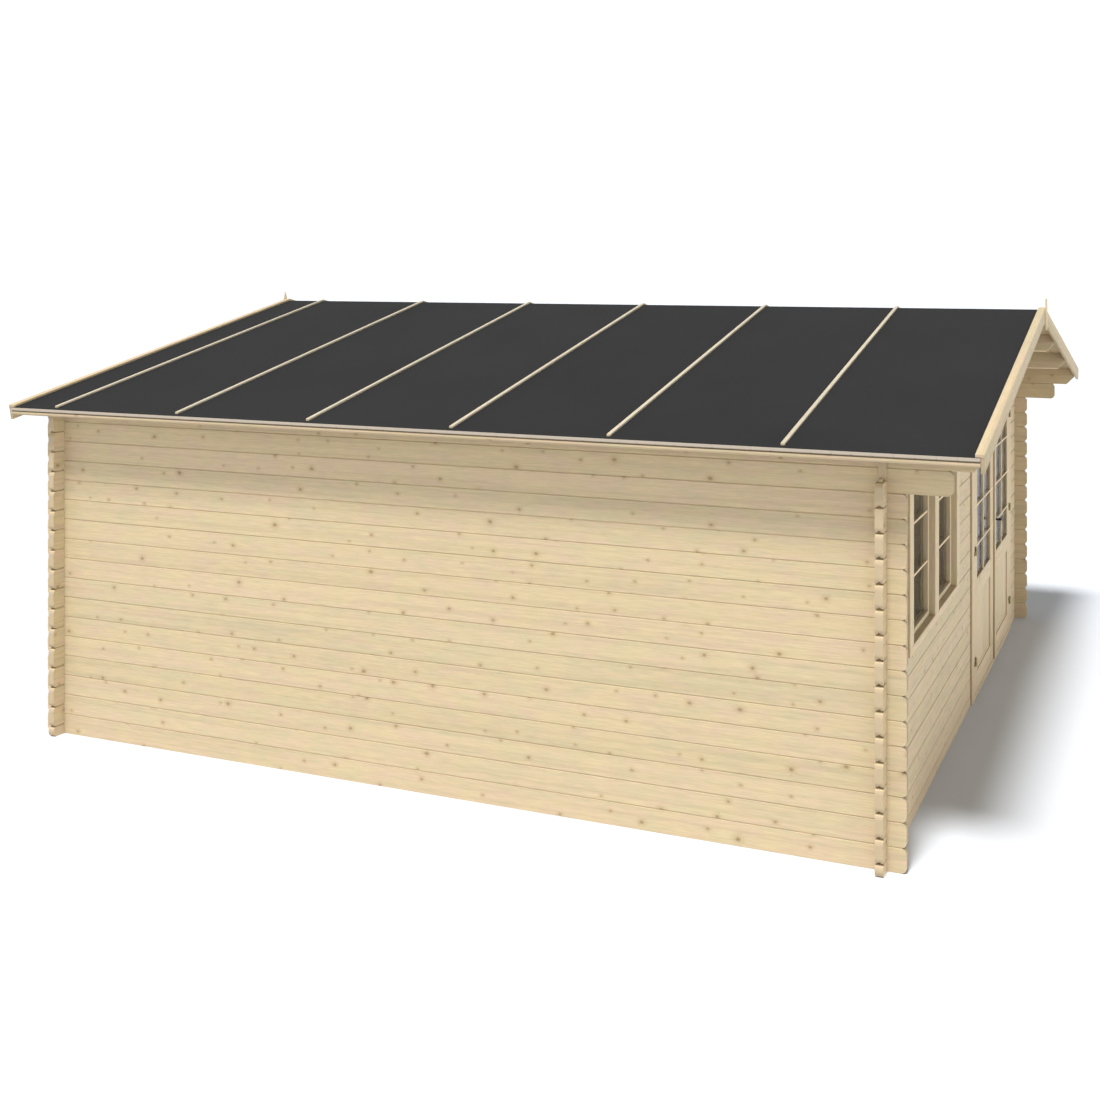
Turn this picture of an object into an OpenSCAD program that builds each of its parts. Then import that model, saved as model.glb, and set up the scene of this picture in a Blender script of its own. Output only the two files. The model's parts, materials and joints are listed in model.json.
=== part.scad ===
// Log cabin: interlocking machined logs, a low felted gable roof, a double door and a two-light window.
// +X runs across the gable, -Y faces the door, +Z is up, and the ground is at Z = 0.

/* [Walls] */
// Width across the gable, outer wall face to outer wall face
body_w = 5520; // [5300:10:5800]
// Length along the ridge, outer wall face to outer wall face
body_l = 5110; // [4600:10:5600]
// Height of one course of logs
log_pitch = 121; // [116:1:126]
// Thickness of the wall logs
log_t = 40; // [36:1:46]
// Courses of logs in the two long walls
courses = 17; // [16:1:18]
// How far the log ends pass the corners
corner_out = 94; // [70:1:120]
// Rounding of the log ends
end_r = 30; // [10:1:32]
// How far the second long log from the top passes the front wall
second_log_out = 310; // [200:1:400]
// How far the highest crossing log of the front wall passes the long walls
trimmed_out = 15; // [5:1:40]

/* [Log joints] */
// Chamfer along both faces of each joint between logs
joint_v = 4; // [2:0.5:6]
// Width of the tongue at its root
tongue_w = 20; // [14:1:22]
// Slope of each side of the tongue, measured across the log
tongue_taper = 5; // [1:0.5:6]
// Height of the tongue
tongue_h = 12; // [6:0.5:14]
// Clearance beside tongues, notches and slots
joint_fit = 0.5; // [0.3:0.1:1]

/* [Roof] */
// Pitch of the roof in degrees
roof_angle = 11.16; // [10.5:0.01:12]
// Overhang of the roof deck past the front wall
front_overhang = 461; // [350:1:520]
// Overhang of the roof deck past the rear wall
rear_overhang = 182; // [140:1:240]
// Overhang of the roof deck past the long walls
side_overhang = 217; // [150:1:260]
// Thickness of the deck boards
deck_t = 18; // [16:1:22]
// Thickness of the roofing felt
felt_t = 2; // [2:0.5:4]
// Spacing of the battens that hold the felt laps
felt_strip = 900; // [800:10:950]
// Width of a felt batten
batten_w = 20; // [15:1:30]
// Height of a felt batten
batten_h = 12; // [10:1:22]
// How far the felt battens stop short of the eaves
batten_short = 30; // [10:1:60]
// Width of the batten under each eave
eave_batten_w = 20; // [15:1:45]
// Height of the batten under each eave
eave_batten_h = 26; // [20:1:34]
// How far the eave batten sits back from the deck edge
eave_batten_back = 4; // [0:1:10]

/* [Purlins] */
// Width of the purlins
purlin_w = 44; // [40:1:56]
// Depth of the purlins
purlin_h = 121; // [112:1:126]
// Chamfer under the ends of purlins and top logs
end_chamfer = 58; // [40:1:70]
// Chamfer along the lower edges of the purlins
purlin_arris = 9; // [4:1:14]

/* [Verges] */
// Thickness of the bargeboards
barge_t = 18; // [16:1:24]
// Depth of the bargeboards, square to the slope
barge_h = 92; // [80:1:140]
// How far the bargeboards stand above the felt
barge_rise = 15; // [8:1:25]
// How far the top lips of the bargeboards lap over the felt
barge_lap = 23; // [10:1:40]
// Width of the finials
finial_w = 34; // [24:1:90]
// Length of the finials
finial_h = 200; // [160:1:240]
// Thickness of the finials
finial_t = 12; // [10:1:24]
// How far the finials stand above the bargeboards
finial_above = 57; // [40:1:80]
// Height of the point of the finials
finial_point = 55; // [20:1:80]

/* [Opening frames] */
// How far the frames stand proud of the outer wall face
frame_out = 13; // [8:1:18]
// Depth of the frames through the wall
frame_depth = 90; // [84:1:96]
// How far the frames lap over the logs
frame_lap = 25; // [18:1:32]
// Height of the head over both openings
head_h = 85; // [75:1:100]
// Projection of the stops into the openings
stop_w = 12; // [8:1:14]

/* [Window] */
// Courses of logs below the window
sill_courses = 7; // [7:1:9]
// Clear width of each of the two lights
light_w = 690; // [640:1:720]
// Width of the outer posts of the window
window_post_w = 108; // [90:1:120]
// Width of the post between the lights
mullion_w = 128; // [100:1:140]
// Height of the bottom member of the window frame
sill_h = 46; // [40:1:80]
// Thickness of the stops behind the sashes
window_stop_t = 16; // [12:1:20]
// Thickness of the sashes
sash_t = 40; // [36:1:54]
// Gap between a sash and its frame
sash_gap = 3; // [2:0.5:5]
// Width of the sash stiles
sash_stile_w = 40; // [32:1:75]
// Height of the bottom rails of the sashes
sash_bottom_h = 28; // [24:1:90]
// Height of the top rails of the sashes
sash_top_h = 100; // [60:1:110]

/* [Door] */
// Width of each door leaf
leaf_w = 970; // [900:1:1000]
// Thickness of the door leaves
leaf_t = 40; // [38:1:42]
// Gap between the two leaves
meeting_gap = 8; // [8:0.5:12]
// Gap between a leaf and its post
hinge_gap = 5; // [5:0.5:7]
// Gap over and under the leaves
leaf_gap = 7; // [6:0.5:10]
// Gap between a leaf and the stop behind it
stop_gap = 5; // [5:0.5:7]
// Width of the door posts on the face
door_post_w = 115; // [90:1:130]
// Height of the threshold
threshold_h = 28; // [20:1:40]
// Width of the leaf stiles at the meeting
stile_w = 160; // [130:1:180]
// Width of the leaf stiles at the hinges
hinge_stile_w = 110; // [90:1:160]
// Height of the bottom rails of the leaves
bottom_rail_h = 133; // [100:1:160]
// Height of the panel openings
panel_h = 503; // [440:1:540]
// Height of the lock rails
lock_rail_h = 124; // [100:1:150]
// Height of the top rails of the leaves
top_rail_h = 90; // [80:1:120]
// Thickness of the panels at their edges
panel_edge_t = 14; // [10:1:16]
// Thickness of the raised middles of the panels
panel_field_t = 26; // [20:1:32]
// Flat margin round the panels
panel_margin = 24; // [18:1:40]
// Width of the bevel round the raised middles
panel_bevel = 40; // [25:1:60]
// Depth of the grooves that hold the panels
panel_groove = 12; // [8:1:16]

/* [Glazing] */
// Thickness of the panes
pane_t = 4; // [3:0.5:6]
// How far the panes sit behind the faces of the leaves
pane_back = 14; // [10:1:26]
// How far the panes sit behind the faces of the sashes
sash_pane_back = 29; // [24:1:42]
// Width of the rebate that holds a pane
rebate_w = 10; // [8:1:14]

/* [Hinges and handle] */
// Radius of the hinge barrels
barrel_r = 8; // [7:0.5:9]
// Length of each half of a hinge barrel
barrel_h = 28; // [22:1:34]
// Radius of the hinge pins
pin_r = 4; // [3:0.5:5]
// Radial clearance of a hinge pin
pin_fit = 0.05; // [0.02:0.01:0.1]
// Width of the hinge plates
hinge_plate_w = 36; // [26:1:44]
// Thickness of the hinge plates
hinge_plate_t = 3; // [2:0.5:4]
// Height of the lowest hinges over the ground
hinge_low = 230; // [180:1:300]
// Height of the handle over the ground
handle_z = 1042; // [950:1:1080]
// Length of the handle's back plate
handle_plate_h = 64; // [50:1:250]
// Width of the handle's back plate
handle_plate_w = 40; // [30:1:50]
// Thickness of the handle's back plate
handle_plate_t = 4; // [3:0.5:6]
// Length of the lever
lever_len = 125; // [100:1:150]
// Radius of the lever
lever_r = 9; // [7:0.5:11]
// Distance of the lever's middle from the leaf
lever_out = 42; // [36:1:55]

/* [Hidden] */
$fn = 48;

// Colours
spruce = "burlywood";
pale_spruce = "wheat";
felt_grey = "dimgray";
brass = "darkgoldenrod";
black_iron = "black";
clear_glass = "lightblue";

// Overrun of cuts past the faces they open
overrun = 20;
// Play at the panel edges
panel_play = 0.3;
// Play at the shoulders of the rails in leaves and sashes
shoulder_play = 0.2;
// Play under the roof deck, the felt and the felt battens
roof_play = 0.2;
// Clearance beside and over the panes
pane_play = 1;
// Gap between the two halves of a hinge barrel
barrel_gap = 1;
// Share of the pin length that stands in the upper barrel
pin_share = 0.85;
// Depth of a corner notch as a share of the course height
notch_share = 0.25;
// Shares of the bare front wall that lie left of the window and between window and door
pier_shares = [0.341, 0.378];
// Places of the side purlins between ridge and long wall, as shares of that distance
purlin_shares = [1 / 3, 2 / 3];
// A purlin seat closer than this to a joint between logs is moved to the joint
seat_snap = 12;
// Radius of the rosette round the lever's neck
rosette_r = 15;
// Height of the rosette
rosette_h = 8;
// Radius of the lever's neck
neck_r = 8;

// Wall planes; the shift puts the middle of the whole building over the origin
y_shift = (front_overhang - rear_overhang) / 2;
y_front = y_shift - body_l / 2;
y_rear = y_shift + body_l / 2;
wall_h = courses * log_pitch;
notch = notch_share * log_pitch;

// Roof planes
slope = tan(roof_angle);
eave_x = body_w / 2 + side_overhang;
deck_rise = deck_t / cos(roof_angle);
felt_rise = felt_t / cos(roof_angle);
batten_rise = batten_h / cos(roof_angle);
barge_drop = barge_h / cos(roof_angle);
deck_front = y_front - front_overhang;
deck_rear = y_rear + rear_overhang;
deck_len = deck_rear - deck_front;
apex_z = under_z(0);
felt_over = roof_play + deck_rise + roof_play;
batten_over = felt_over + felt_rise + roof_play;
barge_over = felt_over + felt_rise + barge_rise;
gable_last = ceil(apex_z / log_pitch + 1 / 2) - 1;

// Purlins
purlin_xs = [for (share = purlin_shares) share * body_w / 2];
ridge_seat = seat_z(0);

// Frames round the openings
frame_y = y_front - frame_out;
frame_back = frame_y + frame_depth;
head_z = (courses - 1 / 2) * log_pitch;
head_under = head_z + frame_lap - head_h;

// Widths of the openings, and of the bare wall left beside them
window_w = 2 * light_w + mullion_w + 2 * window_post_w;
clear_w = 2 * leaf_w + meeting_gap + 2 * hinge_gap;
door_w = clear_w + 2 * door_post_w;
bare_w = body_w - 2 * log_t - window_w - door_w;

// Window
window_x0 = round(log_t - body_w / 2 + pier_shares[0] * bare_w);
window_x1 = window_x0 + window_w;
sill_z = (sill_courses + 1 / 2) * log_pitch;
sill_base = sill_z - frame_lap;
sill_top = sill_base + sill_h;
light_h = head_under - sill_top;
light_x0s = [window_x0 + window_post_w, window_x0 + window_post_w + light_w + mullion_w];
sash_back = frame_back - window_stop_t;
sash_y = sash_back - sash_t;
sash_w = light_w - 2 * sash_gap;
sash_h = light_h - 2 * sash_gap;
sash_light_w = sash_w - 2 * sash_stile_w;
sash_rail_w = sash_light_w - 2 * shoulder_play;
sash_light_h = sash_h - sash_bottom_h - sash_top_h;
sash_light_z = sill_top + sash_gap + sash_bottom_h;

// Door
door_x0 = round(window_x1 + pier_shares[1] * bare_w);
door_x1 = door_x0 + door_w;
door_x = (door_x0 + door_x1) / 2;
leaf_z = threshold_h + leaf_gap;
leaf_h = head_under - leaf_gap - leaf_z;
leaf_y = frame_y;
door_stop_y = leaf_y + leaf_t + stop_gap;
panel_z = leaf_z + bottom_rail_h;
light_z = panel_z + panel_h + lock_rail_h;
leaf_light_h = leaf_z + leaf_h - top_rail_h - light_z;
leaf_x = door_x - meeting_gap / 2 - leaf_w;
sight_x = leaf_x + hinge_stile_w;
sight_w = leaf_w - hinge_stile_w - stile_w;
leaf_rail_w = sight_w - 2 * shoulder_play;
axis_x = clear_w / 2 - hinge_gap / 2;
axis_y = leaf_y - barrel_r;
hinge_high = leaf_z + leaf_h - (hinge_low - leaf_z) - barrel_h;
hinge_zs = [hinge_low, (hinge_low + hinge_high) / 2, hinge_high];
handle_x = door_x + meeting_gap / 2 + stile_w / 2;

// Height of the deck's underside over a point across the gable
function under_z(x) = wall_h + (body_w / 2 - abs(x)) * slope;

// Base and height of a log in a gable wall; the lowest is a half log
function gable_z(j) = j == 0 ? 0 : (j - 1 / 2) * log_pitch;
function gable_h(j) = j == 0 ? log_pitch / 2 : log_pitch;

// Seat of a purlin: its depth below the deck, or the nearest joint if that is close
function seat_z(x) =
    let (low = under_z(x) - purlin_h)
    let (joint = (round(low / log_pitch - 1 / 2) + 1 / 2) * log_pitch)
    abs(low - joint) < seat_snap ? joint : low;

// Numbers of the logs from first to last whose remainder by two is the given one
function every_other(first, last, odd) = [for (i = [first:last]) if (i % 2 == odd) i];

// Flat shapes

// What a rounding takes off a square corner at the origin
module corner_waste(r) {
    difference() {
        translate([-overrun, -overrun]) square(r + overrun);
        translate([r, r]) circle(r);
    }
}

// Side outline of a log with rounded ends; a radius of 0 leaves an end square
module log_blank(x0, x1, h, r0, r1) {
    difference() {
        translate([x0, 0]) square([x1 - x0, h]);
        if (r0 > 0) {
            translate([x0, 0]) corner_waste(r0);
            translate([x0, h]) mirror([0, 1]) corner_waste(r0);
        }
        if (r1 > 0) {
            translate([x1, 0]) mirror([1, 0]) corner_waste(r1);
            translate([x1, h]) mirror([1, 0]) mirror([0, 1]) corner_waste(r1);
        }
    }
}

// Cross section of a log with a tongue on top and a groove below
module log_section(h, groove, tongue) {
    half = log_t / 2;
    root = tongue_w / 2;
    tip = root - tongue_taper;
    polygon(concat(
        [[-half, groove ? joint_v : 0], [-half + (groove ? joint_v : 0), 0]],
        groove ? [[-root - joint_fit, 0], [-tip - joint_fit, tongue_h + joint_fit]] : [],
        groove ? [[tip + joint_fit, tongue_h + joint_fit], [root + joint_fit, 0]] : [],
        [[half - (groove ? joint_v : 0), 0], [half, groove ? joint_v : 0]],
        [[half, h - joint_v], [half - joint_v, h]],
        tongue ? [[root, h], [tip, h + tongue_h], [-tip, h + tongue_h], [-root, h]] : [],
        [[-half + joint_v, h], [-half, h - joint_v]]
    ));
}

// Cross section of the highest long log, planed to the roof slope
module top_log_section() {
    half = log_t / 2;
    root = tongue_w / 2;
    tip = root - tongue_taper;
    polygon([
        [-half, joint_v], [-half + joint_v, 0], [-root - joint_fit, 0],
        [-tip - joint_fit, tongue_h + joint_fit], [tip + joint_fit, tongue_h + joint_fit],
        [root + joint_fit, 0], [half - joint_v, 0], [half, joint_v],
        [half, log_pitch], [-half, log_pitch + log_t * slope]
    ]);
}

// What the roof takes off the gable walls
module above_roof() {
    reach = eave_x + overrun;
    polygon([
        [-reach, under_z(reach)], [0, apex_z], [reach, under_z(reach)],
        [reach, apex_z + overrun], [-reach, apex_z + overrun]
    ]);
}

// Slots of the purlins in the gable walls
module purlin_slots() {
    for (x = concat([0], purlin_xs, -purlin_xs))
        translate([x - purlin_w / 2 - joint_fit, seat_z(x)])
            square([purlin_w + 2 * joint_fit, purlin_h + overrun]);
}

// Corner notches of a log at one crossing wall
module crossing_notches(x, h, below, above) {
    translate([x - joint_fit, 0]) {
        if (below) translate([0, -overrun]) square([log_t + 2 * joint_fit, notch + overrun]);
        if (above) translate([0, h - notch]) square([log_t + 2 * joint_fit, notch + overrun]);
    }
}

// Waste of a slanted cut under the end of a log at x0
module under_cut(x0, c) {
    polygon([[x0 - overrun, -overrun], [x0 + c + overrun, -overrun], [x0 - overrun, c + overrun]]);
}

// Logs

// A log along X from its outline, less the flat cuts given as children
module log_piece(x0, x1, h, r0, r1, groove = true, tongue = true) {
    thick = log_t + 2 * overrun;
    intersection() {
        translate([0, thick / 2, 0]) rotate([90, 0, 0]) linear_extrude(thick) difference() {
            union() {
                log_blank(x0, x1, h, r0, r1);
                if (tongue) translate([x0 + r0, h - tongue_h])
                    square([x1 - x0 - r0 - r1, 2 * tongue_h + overrun]);
            }
            children();
        }
        translate([x0 - overrun, 0, 0]) rotate([90, 0, 90])
            linear_extrude(x1 - x0 + 2 * overrun) log_section(h, groove, tongue);
    }
}

// One log of the left long wall, along Y
module long_log(k) {
    out = k == courses - 2 ? second_log_out : corner_out;
    translate([log_t / 2 - body_w / 2, 0, k * log_pitch]) rotate([0, 0, 90])
        log_piece(y_front - out, y_rear + corner_out, log_pitch, end_r, end_r, k > 0) {
            crossing_notches(y_front, log_pitch, true, true);
            crossing_notches(y_rear - log_t, log_pitch, true, true);
        }
}

// The highest log of the left long wall, which runs out to the front bargeboard
module top_log() {
    thick = log_t + 2 * overrun;
    tall = log_pitch + log_t * slope + overrun;
    len = y_rear + corner_out - deck_front;
    translate([log_t / 2 - body_w / 2, 0, wall_h - log_pitch]) rotate([0, 0, 90]) intersection() {
        translate([0, thick / 2, 0]) rotate([90, 0, 0]) linear_extrude(thick) difference() {
            translate([deck_front, -overrun]) square([len, tall + overrun]);
            translate([deck_front + len, 0]) mirror([1, 0]) corner_waste(end_r);
            under_cut(deck_front, end_chamfer);
            crossing_notches(y_front, log_pitch, true, true);
            crossing_notches(y_rear - log_t, log_pitch, true, true);
        }
        translate([deck_front - overrun, 0, 0]) rotate([90, 0, 90])
            linear_extrude(len + 2 * overrun) top_log_section();
    }
}

// Every other log of the left long wall
module long_wall(odd) {
    for (k = every_other(0, courses - 2, odd)) long_log(k);
    if ((courses - 1) % 2 == odd) top_log();
}

// A gable log between x0 and x1; a rounded end is one that passes a corner
module gable_log(j, x0, x1, r0, r1, under_window = false) {
    z = gable_z(j);
    h = gable_h(j);
    translate([0, 0, z]) log_piece(x0, x1, h, r0, r1, j > 0) {
        for (x = [-body_w / 2, body_w / 2 - log_t]) crossing_notches(x, h, j > 0, j < courses);
        translate([0, -z]) {
            above_roof();
            purlin_slots();
        }
        if (under_window) translate([window_x0 + frame_lap, h])
            square([window_w - 2 * frame_lap, tongue_h + overrun]);
    }
}

// How far a gable log passes the long walls, and its rounding there
function gable_out(j) = j < courses ? corner_out : 0;
function front_out(j) = j == courses - 1 ? trimmed_out : gable_out(j);
function gable_r(j) = j < courses - 1 ? end_r : 0;

// Every other log of the front wall left of the door, round the window
module front_left(odd) {
    for (j = every_other(0, courses - 1, odd)) translate([0, y_front + log_t / 2, 0]) {
        x0 = -body_w / 2 - front_out(j);
        if (j <= sill_courses) {
            gable_log(j, x0, door_x0 + frame_lap, gable_r(j), 0, j == sill_courses);
        } else {
            gable_log(j, x0, window_x0 + frame_lap, gable_r(j), 0);
            gable_log(j, window_x1 - frame_lap, door_x0 + frame_lap, 0, 0);
        }
    }
}

// Every other log of the front wall right of the door
module front_right(odd) {
    for (j = every_other(0, courses - 1, odd)) translate([0, y_front + log_t / 2, 0])
        gable_log(j, door_x1 - frame_lap, body_w / 2 + front_out(j), 0, gable_r(j));
}

// Every other log of the front gable over the openings
module front_gable(odd) {
    for (j = every_other(courses, gable_last, odd)) translate([0, y_front + log_t / 2, 0])
        gable_log(j, -body_w / 2, body_w / 2, 0, 0);
}

// Every other log of the rear wall and its gable
module rear_wall(odd) {
    for (j = every_other(0, gable_last, odd)) translate([0, y_rear - log_t / 2, 0]) {
        out = body_w / 2 + gable_out(j);
        r = j < courses ? end_r : 0;
        gable_log(j, -out, out, r, r);
    }
}

module left_wall_logs_odd() { color(spruce) long_wall(1); }
module left_wall_logs_even() { color(pale_spruce) long_wall(0); }
module right_wall_logs_odd() { color(spruce) mirror([1, 0, 0]) long_wall(1); }
module right_wall_logs_even() { color(pale_spruce) mirror([1, 0, 0]) long_wall(0); }
module rear_wall_logs_odd() { color(spruce) rear_wall(1); }
module rear_wall_logs_even() { color(pale_spruce) rear_wall(0); }
module front_left_logs_odd() { color(spruce) front_left(1); }
module front_left_logs_even() { color(pale_spruce) front_left(0); }
module front_right_logs_odd() { color(spruce) front_right(1); }
module front_right_logs_even() { color(pale_spruce) front_right(0); }
module front_gable_logs_odd() { color(spruce) front_gable(1); }
module front_gable_logs_even() { color(pale_spruce) front_gable(0); }

// Frames of the openings

// The log wall round an opening, which the frame's grooves leave room for
module wall_round(x0, x1, z0, z1) {
    reach = frame_lap + overrun;
    translate([0, y_front + log_t + joint_fit, 0]) rotate([90, 0, 0])
        linear_extrude(log_t + 2 * joint_fit) difference() {
            translate([x0 - reach, z0 - reach]) square([x1 - x0 + 2 * reach, z1 - z0 + 2 * reach]);
            translate([x0, z0]) square([x1 - x0, z1 - z0]);
        }
}

module window_hole() {
    wall_round(window_x0 + frame_lap, window_x1 - frame_lap, sill_z, head_z);
}

module door_hole() {
    wall_round(door_x0 + frame_lap, door_x1 - frame_lap, -frame_lap - overrun, head_z);
}

// A post of the window frame with a stop on each side that faces a light
module window_post(x, w, stop_left, stop_right) {
    translate([x, frame_y, sill_top]) cube([w, frame_depth, light_h]);
    if (stop_left) translate([x - stop_w, sash_back, sill_top])
        cube([stop_w + w / 2, window_stop_t, light_h]);
    if (stop_right) translate([x + w / 2, sash_back, sill_top])
        cube([stop_w + w / 2, window_stop_t, light_h]);
}

module window_posts() {
    color(pale_spruce) difference() {
        union() {
            window_post(window_x0, window_post_w, false, true);
            window_post(light_x0s[0] + light_w, mullion_w, true, true);
            window_post(window_x1 - window_post_w, window_post_w, true, false);
        }
        window_hole();
    }
}

module window_rails() {
    color(pale_spruce) difference() {
        union() {
            translate([window_x0, frame_y, sill_base]) cube([window_w, frame_depth, sill_h]);
            translate([window_x0, frame_y, head_under]) cube([window_w, frame_depth, head_h]);
            for (x = light_x0s) translate([x + stop_w, sash_back, 0]) {
                translate([0, 0, sill_top - sill_h / 2])
                    cube([light_w - 2 * stop_w, window_stop_t, sill_h / 2 + stop_w]);
                translate([0, 0, head_under - stop_w])
                    cube([light_w - 2 * stop_w, window_stop_t, head_h / 2 + stop_w]);
            }
        }
        window_hole();
    }
}

// Room that a pane and its rebate take in a leaf or sash whose light starts at x, z
module pane_rebate(x, y, z, w, h, depth) {
    translate([x - rebate_w, y, z - rebate_w]) cube([w + 2 * rebate_w, depth, h + 2 * rebate_w]);
}

// A pane that stands in its rebate
module pane(x, y, z, w, h) {
    translate([x - rebate_w + pane_play, y, z - rebate_w])
        cube([w + 2 * (rebate_w - pane_play), pane_t, h + 2 * rebate_w - pane_play]);
}

// The rebate of the sash in the light that starts at x
module sash_rebate(x) {
    pane_rebate(x + sash_gap + sash_stile_w, sash_y + sash_pane_back, sash_light_z,
        sash_light_w, sash_light_h, sash_t);
}

module window_sash_stiles() {
    color(pale_spruce) for (x = light_x0s) difference() {
        for (side = [0, sash_w - sash_stile_w]) translate([x + sash_gap + side, sash_y, sill_top + sash_gap])
            cube([sash_stile_w, sash_t, sash_h]);
        sash_rebate(x);
    }
}

module window_sash_rails() {
    color(pale_spruce) for (x = light_x0s) difference() {
        translate([x + sash_gap + sash_stile_w + shoulder_play, sash_y, sill_top + sash_gap]) {
            cube([sash_rail_w, sash_t, sash_bottom_h]);
            translate([0, 0, sash_h - sash_top_h]) cube([sash_rail_w, sash_t, sash_top_h]);
        }
        sash_rebate(x);
    }
}

module window_glass() {
    color(clear_glass) for (x = light_x0s)
        pane(x + sash_gap + sash_stile_w, sash_y + sash_pane_back, sash_light_z,
            sash_light_w, sash_light_h);
}

// The left door post with its stop behind the leaf
module door_post() {
    translate([door_x0, frame_y, 0]) cube([door_post_w, frame_depth, head_under]);
    translate([door_x0, door_stop_y, 0])
        cube([door_post_w + stop_w, frame_back - door_stop_y, head_under]);
}

module door_posts() {
    color(pale_spruce) difference() {
        union() {
            door_post();
            right_side() door_post();
        }
        door_hole();
    }
}

module door_head() {
    color(pale_spruce) difference() {
        union() {
            translate([door_x0, frame_y, head_under]) cube([door_w, frame_depth, head_h]);
            translate([door_x - clear_w / 2 + stop_w, door_stop_y, head_under - stop_w])
                cube([clear_w - 2 * stop_w, frame_back - door_stop_y, stop_w + head_h / 2]);
        }
        door_hole();
    }
}

module door_threshold() {
    color(pale_spruce) translate([door_x - clear_w / 2, frame_y, 0])
        cube([clear_w, door_stop_y - frame_y, threshold_h]);
}

// Door leaves, made left and mirrored for the right about the middle of the door

module right_side() {
    translate([door_x, 0, 0]) mirror([1, 0, 0]) translate([-door_x, 0, 0]) children();
}

// Room for the pane and the panel in a leaf
module leaf_cuts() {
    pane_rebate(sight_x, leaf_y + pane_back, light_z, sight_w, leaf_light_h, leaf_t);
    slot_t = panel_edge_t + 2 * panel_play;
    translate([sight_x - panel_groove, leaf_y + (leaf_t - slot_t) / 2, panel_z - panel_groove])
        cube([sight_w + 2 * panel_groove, slot_t, panel_h + 2 * panel_groove]);
}

module leaf_stiles() {
    difference() {
        translate([leaf_x, leaf_y, leaf_z]) {
            cube([hinge_stile_w, leaf_t, leaf_h]);
            translate([leaf_w - stile_w, 0, 0]) cube([stile_w, leaf_t, leaf_h]);
        }
        leaf_cuts();
    }
}

module leaf_rails() {
    difference() {
        translate([sight_x + shoulder_play, leaf_y, 0]) {
            translate([0, 0, leaf_z]) cube([leaf_rail_w, leaf_t, bottom_rail_h]);
            translate([0, 0, panel_z + panel_h]) cube([leaf_rail_w, leaf_t, lock_rail_h]);
            translate([0, 0, light_z + leaf_light_h]) cube([leaf_rail_w, leaf_t, top_rail_h]);
        }
        leaf_cuts();
    }
}

// Thickness of a raised panel across one of its two directions
module panel_section(w) {
    edge = panel_edge_t / 2;
    field = panel_field_t / 2;
    inner = panel_margin + panel_bevel;
    polygon([
        [0, -edge], [panel_margin, -edge], [inner, -field],
        [w - inner, -field], [w - panel_margin, -edge], [w, -edge],
        [w, edge], [w - panel_margin, edge], [w - inner, field],
        [inner, field], [panel_margin, edge], [0, edge]
    ]);
}

// The raised panel of a leaf, bevelled on both faces
module leaf_panel() {
    grip = panel_groove - panel_play;
    w = sight_w + 2 * grip;
    h = panel_h + 2 * grip;
    translate([sight_x - grip, leaf_y + leaf_t / 2, panel_z - grip]) intersection() {
        translate([0, 0, -overrun]) linear_extrude(h + 2 * overrun) panel_section(w);
        translate([-overrun, 0, 0]) multmatrix([[0, 0, 1, 0], [0, 1, 0, 0], [1, 0, 0, 0], [0, 0, 0, 1]])
            linear_extrude(w + 2 * overrun) panel_section(h);
    }
}

module leaf_pane() {
    pane(sight_x, leaf_y + pane_back, light_z, sight_w, leaf_light_h);
}

module left_door_stiles() { color(pale_spruce) leaf_stiles(); }
module left_door_rails() { color(pale_spruce) leaf_rails(); }
module left_door_panel() { color(spruce) leaf_panel(); }
module left_door_glass() { color(clear_glass) leaf_pane(); }
module right_door_stiles() { color(pale_spruce) right_side() leaf_stiles(); }
module right_door_rails() { color(pale_spruce) right_side() leaf_rails(); }
module right_door_panel() { color(spruce) right_side() leaf_panel(); }
module right_door_glass() { color(clear_glass) right_side() leaf_pane(); }

// Hinges and handles

// Half of a hinge on the left axis: a barrel with a plate towards the given side
module hinge_half(z, side) {
    translate([door_x - axis_x, axis_y, z]) cylinder(r = barrel_r, h = barrel_h);
    translate([door_x - axis_x + (side > 0 ? 0 : -hinge_plate_w), leaf_y - hinge_plate_t, z])
        cube([hinge_plate_w, hinge_plate_t, barrel_h]);
}

// The lower halves on the left post, with their pins
module post_hinges() {
    for (z = hinge_zs) {
        hinge_half(z, -1);
        translate([door_x - axis_x, axis_y, z])
            cylinder(r = pin_r, h = barrel_h + barrel_gap + pin_share * barrel_h);
    }
}

// The upper halves on the left leaf
module leaf_hinges() {
    for (z = hinge_zs) difference() {
        hinge_half(z + barrel_h + barrel_gap, 1);
        translate([door_x - axis_x, axis_y, z])
            cylinder(r = pin_r + pin_fit, h = 2 * barrel_h + barrel_gap + overrun);
    }
}

module hinge_pins() {
    color(brass) {
        post_hinges();
        right_side() post_hinges();
    }
}

module left_hinge_knuckles() { color(brass) leaf_hinges(); }
module right_hinge_knuckles() { color(brass) right_side() leaf_hinges(); }

// A lever handle whose back plate lies on the plane y = 0 and which stands out along -Y
module lever_handle() {
    round_r = handle_plate_w / 2;
    straight = handle_plate_h - handle_plate_w;
    rotate([90, 0, 0]) {
        linear_extrude(handle_plate_t) {
            translate([-round_r, -straight / 2]) square([handle_plate_w, straight]);
            for (end = [-1, 1]) translate([0, end * straight / 2]) circle(round_r);
        }
        cylinder(r = rosette_r, h = rosette_h);
        cylinder(r = neck_r, h = lever_out);
    }
    translate([0, -lever_out, 0]) {
        sphere(r = lever_r);
        rotate([0, 90, 0]) cylinder(r = lever_r, h = lever_len);
        translate([lever_len, 0, 0]) sphere(r = lever_r);
    }
}

module door_handles() {
    color(black_iron) translate([handle_x, leaf_y, handle_z]) {
        lever_handle();
        translate([0, leaf_t, 0]) mirror([0, 1, 0]) lever_handle();
    }
}

// Roof

// A profile across the gable, pushed along Y from the front
module along_y(y0, len) {
    translate([0, y0 + len, 0]) rotate([90, 0, 0]) linear_extrude(len) children();
}

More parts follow.
